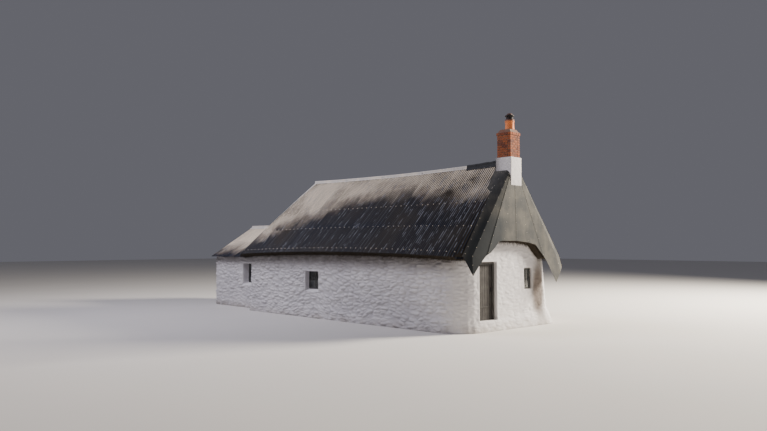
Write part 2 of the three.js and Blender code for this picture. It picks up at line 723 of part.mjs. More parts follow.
// One slope of the annex roof, whose upper end runs against the hip
function annexRoof(side) {
  const section = [
    [side * GAP, ANNEX_RIDGE], [side * ANNEX_EDGE, ANNEX_EAVES],
    [side * ANNEX_EDGE, ANNEX_EAVES + ANNEX_SHEET], [side * GAP, ANNEX_RIDGE + ANNEX_SHEET],
  ];
  const sheet = prismAlongX(section, ANNEX_LEFT - ANNEX_OVERHANG, LEFT_X + 1000);
  const house = box(LEFT_X - LEFT_EAVES_REACH, LEFT_X + 2000, -FAR, FAR, 0, EAVES_MIDDLE);
  return lowestBody(cutAll(sheet, ...trims, house), 0);
}

function annexWalls() {
  const under = [
    [-ANNEX_HALF, 0], [ANNEX_HALF, 0], [ANNEX_HALF, annexRoofZ(ANNEX_HALF) - GAP], [0, ANNEX_RIDGE - GAP],
    [-ANNEX_HALF, annexRoofZ(ANNEX_HALF) - GAP],
  ];
  const body = prismAlongX(under, ANNEX_LEFT, LEFT_X - FOOT_FLARES[0] - GAP);
  const inside = ANNEX_HALF - ANNEX_WALL;
  const room = box(ANNEX_LEFT + ANNEX_WALL, LEFT_X + FAR, -inside, inside, -FAR, FAR);
  const shell = body.subtract(room);
  const split = ANNEX_LEFT + ANNEX_WALL;
  const side = (y0, y1) => underRoof(shell.intersect(box(split + GAP, FAR, y0, y1, 0, ANNEX_RIDGE)));
  return {
    annex_front_wall: cutAll(side(-FAR, 0), ...windowHoles("annex")),
    annex_back_wall: side(0, FAR),
    annex_end_wall: shell.intersect(box(-FAR, split, -FAR, FAR, 0, FAR)),
    annex_floor: box(split + GAP, LEFT_X - FOOT_FLARES[0] - GAP, -inside + GAP, inside - GAP, 0, FLOOR_TOP),
  };
}

// Assembly

function finish(color, roughness, metalness = 0) {
  return new THREE.MeshStandardMaterial({ color, roughness, metalness });
}

const LOOKS = {
  whitewash: finish(0xd9d5d0, 0.9),
  flags: finish(0x77736c, 0.9),
  thatch: finish(0x5a4a38, 1),
  iron: finish(0x4a4b52, 0.55, 0.3),
  hood: finish(0x8d9492, 0.5, 0.4),
  lead: finish(0x3c4046, 0.6, 0.3),
  oldWood: finish(0x5b564d, 0.85),
  windowWood: finish(0x4a4844, 0.7),
  glass: finish(0x20262a, 0.1),
  blackIron: finish(0x1d1d1e, 0.5, 0.6),
  brick: finish(0xa5472b, 0.9),
  pot: finish(0xc25a34, 0.8),
};

const cottage = new THREE.Group();

function place(name, body, material) {
  const { vertProperties, triVerts, numProp } = body.getMesh();
  const geometry = new THREE.BufferGeometry();
  const positions = new Float32Array((vertProperties.length / numProp) * 3);
  for (let i = 0; i * numProp < vertProperties.length; i++) {
    positions.set(vertProperties.subarray(i * numProp, i * numProp + 3), i * 3);
  }
  geometry.setAttribute("position", new THREE.BufferAttribute(positions, 3));
  geometry.setIndex(new THREE.BufferAttribute(new Uint32Array(triVerts), 1));
  geometry.computeVertexNormals();
  const mesh = new THREE.Mesh(geometry, material);
  mesh.name = name;
  cottage.add(mesh);
}

const placeAll = (bodies, material) => {
  for (const [name, body] of Object.entries(bodies)) place(name, body, material);
};

const chimneyRoom = squareBlock(BASE_SIDE + 2 * GAP, GABLE_TOP, STACK_TOP);
const aroundChimney = (body) => lowestBody(body.subtract(chimneyRoom));

placeAll(mainWalls(), LOOKS.whitewash);
place("floor_slab", floorSlab(), LOOKS.flags);

place("door_lintel", lintelBox(0), LOOKS.whitewash);
place("door_frame", doorFrame(), LOOKS.oldWood);
place("door_leaf", doorLeaf(), LOOKS.oldWood);
for (const [end, z] of Object.entries(STRAP_HEIGHTS)) {
  place("door_strap_" + end, doorStrap(z), LOOKS.blackIron);
  place("door_pintle_" + end, doorPintle(z), LOOKS.blackIron);
}
place("door_latch", doorLatch(), LOOKS.blackIron);

for (const window of WINDOWS) {
  place(window.name + "_frame", windowFrame(window), LOOKS.windowWood);
  place(window.name + "_pane", windowPane(window), LOOKS.glass);
}

place("thatch_front", aroundChimney(thatch(frontColumns)), LOOKS.thatch);
place("thatch_back", aroundChimney(thatch(backColumns)), LOOKS.thatch);
place("thatch_left_hip", thatch(hipColumns), LOOKS.thatch);
place("thatch_right_end", aroundChimney(thatch(endColumns)), LOOKS.thatch);
place("roof_iron_front", aroundChimney(sheet(frontColumns)), LOOKS.iron);
place("roof_iron_back", aroundChimney(sheet(backColumns)), LOOKS.iron);
place("roof_iron_left_hip", sheet(hipColumns), LOOKS.iron);
place("hood_front", aroundChimney(sheet(nearCheekColumns)), LOOKS.hood);
place("hood_gable", aroundChimney(sheet(hoodGableColumns)), LOOKS.hood);
place("hood_back", aroundChimney(sheet(farCheekColumns)), LOOKS.hood);
placeAll(ridgePieces(), LOOKS.lead);

place("chimney_base", squareBlock(BASE_SIDE, GABLE_TOP + GAP, BASE_TOP), LOOKS.whitewash);
place("chimney_stack", squareBlock(STACK_SIDE, BASE_TOP + GAP, STACK_TOP), LOOKS.brick);
place("chimney_cap", chimneyCap(), LOOKS.brick);
place("chimney_pot", chimneyPot(), LOOKS.pot);
place("chimney_cowl", chimneyCowl(), LOOKS.blackIron);

placeAll(annexWalls(), LOOKS.whitewash);
place("annex_roof_front", annexRoof(-1), LOOKS.iron);
place("annex_roof_back", annexRoof(1), LOOKS.iron);

export default cottage;
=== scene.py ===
"""A small whitewashed cottage: lumpy rubble walls, corrugated iron laid over the old thatch, a hood of
smooth sheets over the chimney gable, and a lower annex at the other end."""

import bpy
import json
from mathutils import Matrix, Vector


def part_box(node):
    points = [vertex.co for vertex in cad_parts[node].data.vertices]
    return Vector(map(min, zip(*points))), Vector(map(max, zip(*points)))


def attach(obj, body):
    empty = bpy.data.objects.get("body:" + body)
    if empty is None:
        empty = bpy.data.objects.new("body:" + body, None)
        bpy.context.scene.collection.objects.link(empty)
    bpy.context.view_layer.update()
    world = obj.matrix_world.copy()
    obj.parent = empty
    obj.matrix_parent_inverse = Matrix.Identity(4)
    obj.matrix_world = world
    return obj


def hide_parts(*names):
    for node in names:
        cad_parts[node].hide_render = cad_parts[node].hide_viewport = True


bl_info = {
    "name": "Whitewashed Cottage",
    "version": (1, 0, 0),
    "blender": (4, 5, 0),
    "location": "3D View > Sidebar > Cottage",
    "description": "Dresses a small rubble cottage that stands under corrugated iron",
    "category": "Object",
}

import json
import math
from contextlib import contextmanager
from functools import partial, reduce

import bmesh
import bpy
import numpy as np
from bpy.props import FloatProperty, FloatVectorProperty, IntProperty, PointerProperty
from mathutils import Vector, noise

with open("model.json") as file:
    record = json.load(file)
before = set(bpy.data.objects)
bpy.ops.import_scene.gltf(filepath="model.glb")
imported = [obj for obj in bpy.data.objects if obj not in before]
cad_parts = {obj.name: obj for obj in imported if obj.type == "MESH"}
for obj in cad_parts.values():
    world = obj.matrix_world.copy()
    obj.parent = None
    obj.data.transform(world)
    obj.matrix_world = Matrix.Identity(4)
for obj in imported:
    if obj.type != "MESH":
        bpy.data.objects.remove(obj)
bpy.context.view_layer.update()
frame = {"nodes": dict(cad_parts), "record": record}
HOUSE = "cottage"
DOOR = "door"
OPENINGS = {o["name"]: np.array(o["box_m"]) for o in frame["record"]["physics"]["openings"]}
QUARTER = math.pi / 2
FLIP = np.array([1, -1, 1])  # from the front to the back

# Roof form, in metres
GABLE_X = 5.1
LEFT_X = -5.1
HALF_WIDTH = 2.4
EAVES_OVERHANG = 0.22
EAVES_MIDDLE = 2.235
EAVES_BOW = 0.11
RIDGE_MIDDLE = 4.835
RIDGE_SAG = 0.05
RIDGE_SAG_REACH = 3.7
RIGHT_EAVES_REACH = 0.3
RIGHT_RIDGE_REACH = 0.1
LEFT_EAVES_REACH = 0.48
LEFT_HIP_LEAN = 1.61
RIDGE_LEFT = LEFT_X - LEFT_EAVES_REACH + LEFT_HIP_LEAN
CORNER_FRONT = 1.0
CORNER_BACK = 0.65
CORNER_LEFT = 0.4
RIDGE_STOP = 0.995
THATCH_IN = 0.26
THATCH_IN_GABLE = 0.29
THATCH_DOWN_EAVES = 0.12
THATCH_DOWN_RIDGE = 0.36
HOOD_EDGE_EAVES = 0.28
HOOD_EDGE_RIDGE = -0.32
HOOD_FLARE = 0.18
# Lower edge of the hood: place round the roof and height
HOOD_EDGE = [
    (1.655, 1.6), (1.76, 1.805), (1.87, 2.0), (2.01, 2.225), (2.06, 2.37), (2.1, 2.53), (2.16, 2.56),
    (2.4, 2.56), (2.61, 2.51), (2.72, 2.45), (2.78, 2.2), (2.83, 1.94), (2.86, 1.66), (2.9, 1.29),
    (3.0, 1.575), (3.345, 1.745),
]
SLOPE_LENGTH = math.hypot(HALF_WIDTH + EAVES_OVERHANG, RIDGE_MIDDLE - EAVES_MIDDLE)
LAP_LINE = 0.3  # share of the slope at which the upper course of sheets laps the lower one
LAP_STEP = 0.0003  # half of the share over which the surface steps up there
FIXING_ROWS = (0.045, 0.305, 0.56, 0.8, 0.965)
FLASHING_START = 3.5
ROLL_TURN = 0.35  # how far a ridge roll turns in under its widest place, in radians

# Weather, with painted sunlight and painted tree shadow on the long slopes
# The dark paint that the next two lines place is also painted tree shadow, and the bare metal above it
# painted sunlight
PAINT_AND_SHADOW_PEAK_X = 0.6  # where the dark paint reaches highest on the long slopes
PAINT_AND_SHADOW_PEAK = 0.71  # share of the slope that it covers there
SHEETS_PER_COURSE = 37.0  # added to a sheet's number in the upper course
DAMP_PLACE = (5.12, 1.4, 1.05)  # middle of the damp patch beside the gable window
DAMP_SPREAD = (1.6, 1.9, 0.8)  # one over the patch's half sizes

# Second tones
SPECKS = (0.12, 0.09, 0.065)  # on the smooth sheets
DARK_RUN = (0.25, 0.25, 0.25)
PALE_RUN = (0.85, 0.85, 0.85)
SILVERED_WOOD = (0.12, 0.115, 0.105)
PEELED_PAINT = (0.17, 0.15, 0.12)
CLEAR_GLASS = (0.3, 0.32, 0.33)
DUSTY_GLASS = (0.2, 0.21, 0.215)
IRON_RUST = (0.22, 0.12, 0.095)
BRIGHT_BRICK = (0.4, 0.15, 0.07)
SOOTY_BRICK = (0.11, 0.08, 0.07)
DIRTY_MORTAR = (0.1, 0.08, 0.065)
POT_MOTTLE = (0.6, 0.14, 0.04)
POT_SOOT = (0.1, 0.06, 0.045)
FLAG_SHADE = (0.14, 0.13, 0.12)
FLAG_JOINT = (0.06, 0.05, 0.04)
FLAG_WEAR = (0.27, 0.25, 0.22)

# Where the looks change, in metres: from nothing to all of it
# The band under the eaves is partly dirt and partly painted shade under the overhang
EAVES_DIRT_AND_SHADE = (1.42, 2.14)
OFF_THE_GABLE = (5.0, 4.6)
SPLASH = (0.3, 0.0)
# Painted tree shadow on the near cheek of the hood over the door
SHADOWED_CHEEK_ASIDE = (-0.55, -1.0)
SHADOWED_CHEEK_ALONG = (5.0, 5.2)
SHADOWED_CHEEK_HEIGHT = (3.5, 3.0)
COWL_CROWN = (6.33, 6.35)
COWL_COLLAR_TOP = (6.205, 6.19)
COWL_COLLAR_FOOT = (5.0, 6.0)
POT_RIM = (6.09, 6.17)

# Where each slope's count across begins, a whole number of corrugations from the others
ACROSS_START = {
    "front": 0.0, "back": 100.016, "left_hip": 50.008, "annex_front": 20.064, "annex_back": 30.096,
}

# Camera, as recovered from the photograph
CAMERA_PLACE = Vector((16.459, -16.838, 2.45))
CAMERA_YAW = math.radians(45.185)
CAMERA_PITCH = math.radians(2.488)
CAMERA_LENS = 31.56  # millimetres, on a 36 mm sensor


# Sizes and colours that a user would change

def metres(name, description, default):
    return FloatProperty(name=name, description=description, default=default, unit="LENGTH", precision=4)


def colour(name, description, default):
    return FloatVectorProperty(
        name=name, description=description, default=default, subtype="COLOR", size=3, min=0, max=1
    )


class SheetSettings(bpy.types.PropertyGroup):
    pitch: metres("Corrugation pitch", "Distance from crest to crest", 0.076)
    depth: metres("Corrugation depth", "Height of the crests over the valleys", 0.018)
    sheet_width: metres("Sheet width", "Width that one sheet covers", 0.608)
    lap: metres("Lap", "Height of a sheet's edge over the sheet it laps", 0.003)
    thickness: metres("Thickness", "Thickness of the sheets as they show at their edges", 0.0018)
    # The bluish dark paint is partly painted tree shadow on the lower slopes, and the very bright bare tone
    # partly painted sunlight on the upper slopes
    paint: colour("Paint", "Dark paint on the corrugated sheets", (0.005, 0.0085, 0.0185))
    bare: colour("Bare metal", "Weathered metal where the paint has gone", (1.0, 0.87, 0.67))
    rust: colour("Rust", "Rust where the paint gives way", (0.13, 0.085, 0.065))
    # Lightens the crests: partly worn paint, partly a painted highlight along them
    crest_chalk_and_highlight: colour("Chalk", "Chalky runs on the crests", (0.35, 0.375, 0.43))
    hood: colour("Hood", "Dull metal of the smooth sheets", (0.056, 0.058, 0.058))
    hood_pale: colour("Hood, pale", "Paler patches of the smooth sheets", (0.112, 0.107, 0.094))
    # The darker sheets of the cheek are a painted tree shadow on the near cheek over the door
    hood_painted_shadow: colour("Hood, dark", "Darker sheets of the cheek over the door", (0.024, 0.03, 0.036))
    ridge: colour("Ridge", "Pale ridge and hip sheets", (0.62, 0.59, 0.54))
    lead: colour("Lead", "Flashing beside the chimney", (0.045, 0.047, 0.05))


class WallSettings(bpy.types.PropertyGroup):
    grain: metres("Grain", "Spacing of the points of the wall surface", 0.024)
    stone_length: metres("Stone length", "Usual length of a stone in the rubble", 0.285)
    stone_height: metres("Stone height", "Usual height of a stone in the rubble", 0.092)
    relief: metres("Relief", "Depth of the hollows between the stones", 0.042)
    limewash: colour("Limewash", "Clean limewash", (0.8, 0.78, 0.785))
    shade: colour("Old limewash", "Greyer limewash in patches and hollows", (0.42, 0.405, 0.435))
    damp: colour("Damp", "Brown damp stains", (0.13, 0.1, 0.08))
    # The band below the thatch is partly dirt and partly painted shade under the eaves
    eaves_dirt_and_shade: colour("Eaves stain", "Grey-brown dirt below the thatch", (0.12, 0.104, 0.09))
    splash: colour("Splash", "Earth splashed on the foot of the walls", (0.34, 0.3, 0.25))
    flags: colour("Flags", "Worn stone floor", (0.2, 0.185, 0.165))


class ThatchSettings(bpy.types.PropertyGroup):
    density: FloatProperty(name="Density", description="Straw ends per square metre", default=1000)
    length: metres("Straw length", "Usual length of a loose straw end", 0.11)
    radius: metres("Straw radius", "Radius of a straw end", 0.0032)
    seed: IntProperty(name="Seed", description="Seed of the scattered straws", default=4)
    straw: colour("Straw", "Old straw", (0.048, 0.035, 0.02))
    dark: colour("Dark straw", "Sooty, damp straw", (0.02, 0.0145, 0.008))


class TimberSettings(bpy.types.PropertyGroup):
    plank: metres("Plank width", "Usual width of a door plank", 0.114)
    gap: metres("Plank gap", "Gap between two planks", 0.004)
    bar: metres("Window bar", "Width of a window bar", 0.024)
    wood: colour("Old wood", "Weathered grey-brown wood", (0.046, 0.04, 0.037))
    grain: colour("Grain", "Dark grain of the old wood", (0.022, 0.019, 0.018))
    stile: colour("Frame wood", "Grey wood of the door frame", (0.1, 0.1, 0.097))
    window: colour("Window paint", "Old dark paint of the windows", (0.055, 0.057, 0.055))
    bar_paint: colour("Pale paint", "Pale paint on the bar of the gable window", (0.3, 0.3, 0.29))


class ChimneySettings(bpy.types.PropertyGroup):
    courses: IntProperty(name="Courses", description="Courses of brick in the stack", default=9)
    brick_depth: metres("Brick depth", "Depth of a brick into the stack", 0.1)
    joint: metres("Joint", "Width of a mortar joint", 0.01)
    brick: colour("Brick", "Orange-red brick", (0.3, 0.082, 0.027))
    burnt: colour("Burnt brick", "Darker bricks", (0.13, 0.036, 0.022))
    mortar: colour("Mortar", "Pale lime mortar", (0.21, 0.16, 0.12))
    haunch: colour("Cap mortar", "Reddish mortar sloped round the pot", (0.25, 0.115, 0.075))
    pot: colour("Pot", "Orange clay of the pot", (1.0, 0.32, 0.1))
    iron: colour("Iron", "Black iron", (0.022, 0.022, 0.024))


class StageSettings(bpy.types.PropertyGroup):
    floor: colour("Floor", "Plain pale floor", (0.72, 0.7, 0.67))
    key: FloatProperty(name="Key light", description="Power of the light on the gable side", default=23000)
    fill: FloatProperty(name="Fill light", description="Power of the light over the front", default=2000)
    sky: FloatProperty(name="Surroundings", description="Strength of the plain surroundings", default=0.16)


SETTINGS = {
    "cottage_sheets": SheetSettings,
    "cottage_walls": WallSettings,
    "cottage_thatch": ThatchSettings,
    "cottage_timber": TimberSettings,
    "cottage_chimney": ChimneySettings,
    "cottage_stage": StageSettings,
}


def settings(name):
    return getattr(bpy.context.scene, "cottage_" + name)


# Node trees

def connect(tree, value, socket):
    """A socket takes either a link or a plain value"""
    if isinstance(value, bpy.types.NodeSocket):
        tree.links.new(value, socket)
    else:
        socket.default_value = value


def put(tree, kind, inputs=None, **values):
    """A node with its settings, whose inputs are sockets to link or plain values"""
    made = tree.nodes.new(kind)
    for key, value in values.items():
        setattr(made, key, value)
    for key, value in (inputs or {}).items():
        connect(tree, value, made.inputs[key])
    return made


def calc(tree, operation, *values, clamp=False):
    inputs = dict(enumerate(values))
    return put(tree, "ShaderNodeMath", inputs, operation=operation, use_clamp=clamp).outputs[0]


def times(tree, *values):
    return reduce(partial(calc, tree, "MULTIPLY"), values)


def vector_calc(tree, operation, first, second):
    socket = 3 if operation == "SCALE" else 1
    return put(tree, "ShaderNodeVectorMath", {0: first, socket: second}, operation=operation).outputs[0]


def remap(tree, value, low, high, to_low=0.0, to_high=1.0):
    inputs = dict(enumerate((value, low, high, to_low, to_high)))
    return put(tree, "ShaderNodeMapRange", inputs, interpolation_type="SMOOTHSTEP").outputs[0]


def swing(tree, value, width, middle):
    """A value that runs about 0.5, widened and moved to run about a middle"""
    return calc(tree, "MULTIPLY_ADD", calc(tree, "SUBTRACT", value, 0.5), width, middle)


def mix(tree, share, first, second, kind="MIX"):
    colours = [c if isinstance(c, bpy.types.NodeSocket) else (*c, 1) for c in (first, second)]
    inputs = {0: share, 6: colours[0], 7: colours[1]}
    return put(tree, "ShaderNodeMix", inputs, data_type="RGBA", blend_type=kind).outputs[2]


def coat(tree, base, colour, *masks):
    """A colour laid over a base as far as all its masks let it"""
    return mix(tree, times(tree, *masks), base, colour)


def attribute(tree, name):
    return put(tree, "ShaderNodeAttribute", attribute_name=name).outputs["Fac"]


def object_place(tree):
    return put(tree, "ShaderNodeTexCoord").outputs["Object"]


def place_parts(tree):
    """x, y and z of the place on the object"""
    return put(tree, "ShaderNodeSeparateXYZ", {0: object_place(tree)}).outputs


def stretched_place(tree, scale):
    return vector_calc(tree, "MULTIPLY", object_place(tree), scale)


def combined(tree, x, y, z):
    return put(tree, "ShaderNodeCombineXYZ", {0: x, 1: y, 2: z}).outputs[0]


def random_of(tree, number):
    """The random value, from 0 to 1, that belongs to a whole number"""
    return put(tree, "ShaderNodeTexWhiteNoise", {"W": number}, noise_dimensions="1D").outputs[0]


def clouds(tree, place, scale, detail, roughness=0.5):
    inputs = {"Vector": place, "Scale": scale, "Detail": detail, "Roughness": roughness}
    return put(tree, "ShaderNodeTexNoise", inputs).outputs[0]


def bump(tree, height, depth, strength):
    inputs = {"Height": height, "Distance": depth, "Strength": strength}
    return put(tree, "ShaderNodeBump", inputs).outputs[0]


def new_group(kind, name, inputs, outputs):
    """An empty node group with named sockets, each given as its type and default"""
    group = bpy.data.node_groups.new(name, kind)
    for way, sockets in (("INPUT", inputs), ("OUTPUT", outputs)):
        for label, (kind_of, default) in sockets.items():
            socket = group.interface.new_socket(name=label, in_out=way, socket_type="NodeSocket" + kind_of)
            if default is not None:
                socket.default_value = default
    entry = group.nodes.new("NodeGroupInput")
    leave = group.nodes.new("NodeGroupOutput")
    return group, entry.outputs, leave.inputs


def opening(group, entry, value):
    """A mask that opens where a value passes the group's level"""
    low = calc(group, "SUBTRACT", entry["Level"], entry["Softness"])
    high = calc(group, "ADD", entry["Level"], entry["Softness"])
    return remap(group, value, low, high)


def patches_group():
    """Irregular patches, such as dirt, wear and damp make on any surface"""
    group, entry, leave = new_group(
        "ShaderNodeTree", "weather patches",
        {"Scale": ("Float", 1.0), "Level": ("Float", 0.5), "Softness": ("Float", 0.15)},
        {"Mask": ("Float", None)},
    )
    broad = clouds(group, object_place(group), entry["Scale"], 6.0)
    group.links.new(opening(group, entry, broad), leave["Mask"])
    return group


def grit_group():
    """A fine uneven skin, as a normal"""
    group, entry, leave = new_group(
        "ShaderNodeTree", "gritty skin",
        {"Scale": ("Float", 40.0), "Depth": ("Float", 0.002), "Strength": ("Float", 0.5)},
        {"Normal": ("Vector", None)},
    )
    fine = clouds(group, object_place(group), entry["Scale"], 5.0)
    group.links.new(bump(group, fine, entry["Depth"], entry["Strength"]), leave["Normal"])
    return group


def streaks_group():
    """Runs of weather down a surface, from a place given as across, down and a number"""
    group, entry, leave = new_group(
        "ShaderNodeTree", "weather streaks",
        {
            "Place": ("Vector", None), "Across": ("Float", 12.0), "Down": ("Float", 0.5),
            "Level": ("Float", 0.5), "Softness": ("Float", 0.12),
        },
        {"Mask": ("Float", None), "Tone": ("Float", None)},
    )
    scale = combined(group, entry["Across"], entry["Down"], 1.0)
    runs = clouds(group, vector_calc(group, "MULTIPLY", entry["Place"], scale), 1.0, 5.0, 0.6)
    group.links.new(opening(group, entry, runs), leave["Mask"])
    group.links.new(runs, leave["Tone"])
    return group


GROUPS = {}


def effect(tree, maker, output, **inputs):
    """A shared effect, placed with its own values"""
    if maker not in GROUPS:
        GROUPS[maker] = maker()
    return put(tree, "ShaderNodeGroup", inputs, node_tree=GROUPS[maker]).outputs[output]


def patches(tree, scale, level, softness):
    return effect(tree, patches_group, "Mask", Scale=scale, Level=level, Softness=softness)


def grit(tree, scale, depth, strength):
    return effect(tree, grit_group, "Normal", Scale=scale, Depth=depth, Strength=strength)


def streaks(tree, place, across, down, output="Tone", **inputs):
    return effect(tree, streaks_group, output, Place=place, Across=across, Down=down, **inputs)


def material(name, build):
    """A material whose shader inputs are set by a function, from its tree to a dict of inputs"""
    made = bpy.data.materials.new(name)
    made.use_nodes = True
    shader = next(n for n in made.node_tree.nodes if n.type == "BSDF_PRINCIPLED")
    for key, value in build(made.node_tree).items():
        connect(made.node_tree, value, shader.inputs[key])
    return made


# Finishes

def limewash_finish(tree):
    look = settings("walls")
    along, _, height = place_parts(tree)
    stain = patches(tree, 3.0, 0.45, 0.25)
    base = coat(tree, look.limewash, look.shade, patches(tree, 0.9, 0.5, 0.2), 0.35)
    base = coat(tree, base, look.shade, attribute(tree, "hollow"), 0.3)
    # Darker band under the eaves: partly dirt, partly painted shade under the overhang
    under_eaves = times(tree, remap(tree, height, *EAVES_DIRT_AND_SHADE), remap(tree, along, *OFF_THE_GABLE))
    base = coat(tree, base, look.eaves_dirt_and_shade, under_eaves, calc(tree, "MULTIPLY_ADD", stain, 0.25, 0.65))
    aside = vector_calc(tree, "SUBTRACT", object_place(tree), DAMP_PLACE)
    aside = vector_calc(tree, "MULTIPLY", aside, DAMP_SPREAD)
    reach = put(tree, "ShaderNodeVectorMath", {0: aside}, operation="LENGTH").outputs["Value"]
    base = coat(tree, base, look.damp, remap(tree, reach, 1.0, 0.35), 0.9)
    base = coat(tree, base, look.splash, remap(tree, height, *SPLASH), stain, 0.6)
    normal = grit(tree, 26.0, 0.006, 0.5)
    return {"Base Color": base, "Roughness": 0.92, "Normal": normal, "Specular IOR Level": 0.2}


def iron_finish(tree):
    """Dark paint that has gone from the upper part, on sheets that each weather on their own. The pale upper
    part is also painted sunlight and the dark lower part painted tree shadow.
    """
    look = settings("sheets")
    along = place_parts(tree)[0]
    across, down, crest = (attribute(tree, name) for name in ("across", "down", "crest"))
    sheet = calc(tree, "FLOOR", calc(tree, "DIVIDE", across, look.sheet_width))
    upper_course = calc(tree, "GREATER_THAN", down, LAP_LINE * SLOPE_LENGTH)
    sheet = calc(tree, "MULTIPLY_ADD", upper_course, SHEETS_PER_COURSE, sheet)
    own = random_of(tree, sheet)
    place = combined(tree, across, down, sheet)
    # Painted light: the pale upper part is painted sunlight and the dark lower part painted tree shadow, as
    # well as worn paint; the pale part is made larger towards the right end
    to_left = remap(tree, along, PAINT_AND_SHADOW_PEAK_X, -6.5, PAINT_AND_SHADOW_PEAK, 0.12)
    to_right = remap(tree, along, PAINT_AND_SHADOW_PEAK_X, 5.2, 0.0, -0.15)
    above = calc(tree, "DIVIDE", down, SLOPE_LENGTH)
    above = calc(tree, "SUBTRACT", above, calc(tree, "ADD", to_left, to_right))
    above = swing(tree, streaks(tree, place, 0.9, 0.7), 0.6, above)
    bared_and_sunlit = remap(tree, above, -0.1, 0.2)
    wear_and_sunlight = swing(tree, streaks(tree, place, 24.0, 0.9), 0.6, 0.84)
    wear_and_sunlight = swing(tree, own, 0.2, wear_and_sunlight)
    wear_and_sunlight = calc(tree, "MULTIPLY", wear_and_sunlight, calc(tree, "MULTIPLY_ADD", bared_and_sunlit, 0.99, 0.01), clamp=True)
    base = mix(tree, wear_and_sunlight, look.paint, look.bare)
    base = coat(tree, base, look.paint, remap(tree, crest, 0.5, 0.15), 0.62)
    at_border = times(tree, remap(tree, above, -0.16, 0.0), remap(tree, above, 0.22, 0.04))
    base = coat(tree, base, look.rust, at_border, patches(tree, 2.6, 0.52, 0.14), 0.4)
    # Light along the crests: dashes of worn paint, with more dashes towards the right end, plus a painted
    # highlight on whole crest lines
    wave = calc(tree, "FLOOR", calc(tree, "ADD", calc(tree, "DIVIDE", across, look.pitch), 0.5))
    line = combined(tree, calc(tree, "MULTIPLY", wave, 7.31), down, own)
    level = remap(tree, along, 0.0, 5.2, 0.61, 0.54)
    dashes = streaks(tree, line, 1.0, 2.1, "Mask", Level=level, Softness=0.04)
    painted_crest_highlight = times(tree, calc(tree, "POWER", random_of(tree, wave), 3.0), 0.2)
    crest_wear_and_highlight = calc(tree, "MULTIPLY_ADD", dashes, 0.5, calc(tree, "ADD", painted_crest_highlight, 0.015))
    base = coat(tree, base, look.crest_chalk_and_highlight, crest_wear_and_highlight, remap(tree, crest, 0.55, 0.95))
    normal = grit(tree, 70.0, 0.001, 0.3)
    return {"Base Color": base, "Roughness": 0.6, "Specular IOR Level": 0.15, "Normal": normal}


def plain_sheet(first, second, level):
    """Smooth metal sheet in two tones, with faint runs and a few spots"""
    def finish(tree):
        along, side, height = place_parts(tree)
        upright = combined(tree, calc(tree, "ADD", along, side), height, 0.0)
        base = mix(tree, patches(tree, 2.4, level, 0.22), first, second)
        runs = mix(tree, streaks(tree, upright, 9.0, 0.6), DARK_RUN, PALE_RUN)
        base = mix(tree, 0.5, base, runs, "OVERLAY")
        base = coat(tree, base, SPECKS, patches(tree, 22.0, 0.7, 0.04), 0.4)
        normal = grit(tree, 7.0, 0.008, 0.35)
        return {"Base Color": base, "Roughness": 0.75, "Specular IOR Level": 0.12, "Normal": normal}

    return finish


def hood_finish(tree):
    look = settings("sheets")
    inputs = plain_sheet(look.hood, look.hood_pale, 0.52)(tree)
    along, side, height = place_parts(tree)
    # Painted shadow: the near cheek over the door is darkened as if a tree shaded it
    aside = remap(tree, side, *SHADOWED_CHEEK_ASIDE)
    cheek_painted_shadow = times(tree, aside, remap(tree, along, *SHADOWED_CHEEK_ALONG), remap(tree, height, *SHADOWED_CHEEK_HEIGHT))
    inputs["Base Color"] = coat(tree, inputs["Base Color"], look.hood_painted_shadow, cheek_painted_shadow, 0.85)
    return inputs


def straw_finish(tree):
    look = settings("thatch")
    fibres = clouds(tree, stretched_place(tree, (30.0, 30.0, 5.0)), 3.0, 4.0, 0.55)
    share = calc(tree, "MULTIPLY", calc(tree, "ADD", attribute(tree, "tint"), fibres), 0.6, clamp=True)
    base = mix(tree, share, look.dark, look.straw)
    return {"Base Color": base, "Roughness": 0.95, "Normal": bump(tree, fibres, 0.01, 0.8)}


def wood_finish(first, second):
    """Wood with an upright grain, each board with its own tint"""
    def finish(tree):
        tint = attribute(tree, "tint")
        board = combined(tree, 0.0, 0.0, calc(tree, "MULTIPLY", tint, 9.0))
        place = vector_calc(tree, "ADD", stretched_place(tree, (28.0, 28.0, 1.6)), board)
        grain = clouds(tree, place, 1.6, 6.0, 0.65)
        base = mix(tree, remap(tree, grain, 0.38, 0.66), second, first)
        base = mix(tree, remap(tree, tint, 0.0, 1.0, 0.0, 0.45), base, second)
        base = coat(tree, base, SILVERED_WOOD, patches(tree, 5.0, 0.55, 0.2), 0.3)
        return {"Base Color": base, "Roughness": 0.8, "Normal": bump(tree, grain, 0.004, 0.6)}

    return finish


def old_paint(paint, bare):
    def finish(tree):
        base = mix(tree, patches(tree, 16.0, 0.62, 0.06), paint, bare)
        return {"Base Color": base, "Roughness": 0.6, "Normal": grit(tree, 60.0, 0.001, 0.4)}

    return finish


def glass_finish(tree):
    dust = patches(tree, 6.0, 0.5, 0.3)
    return {
        "Base Color": mix(tree, dust, CLEAR_GLASS, DUSTY_GLASS),
        "Roughness": remap(tree, dust, 0.0, 1.0, 0.04, 0.12),
        "Metallic": 0.0,
        "Transmission Weight": 0.8,
        "Normal": grit(tree, 5.0, 0.004, 0.15),
    }


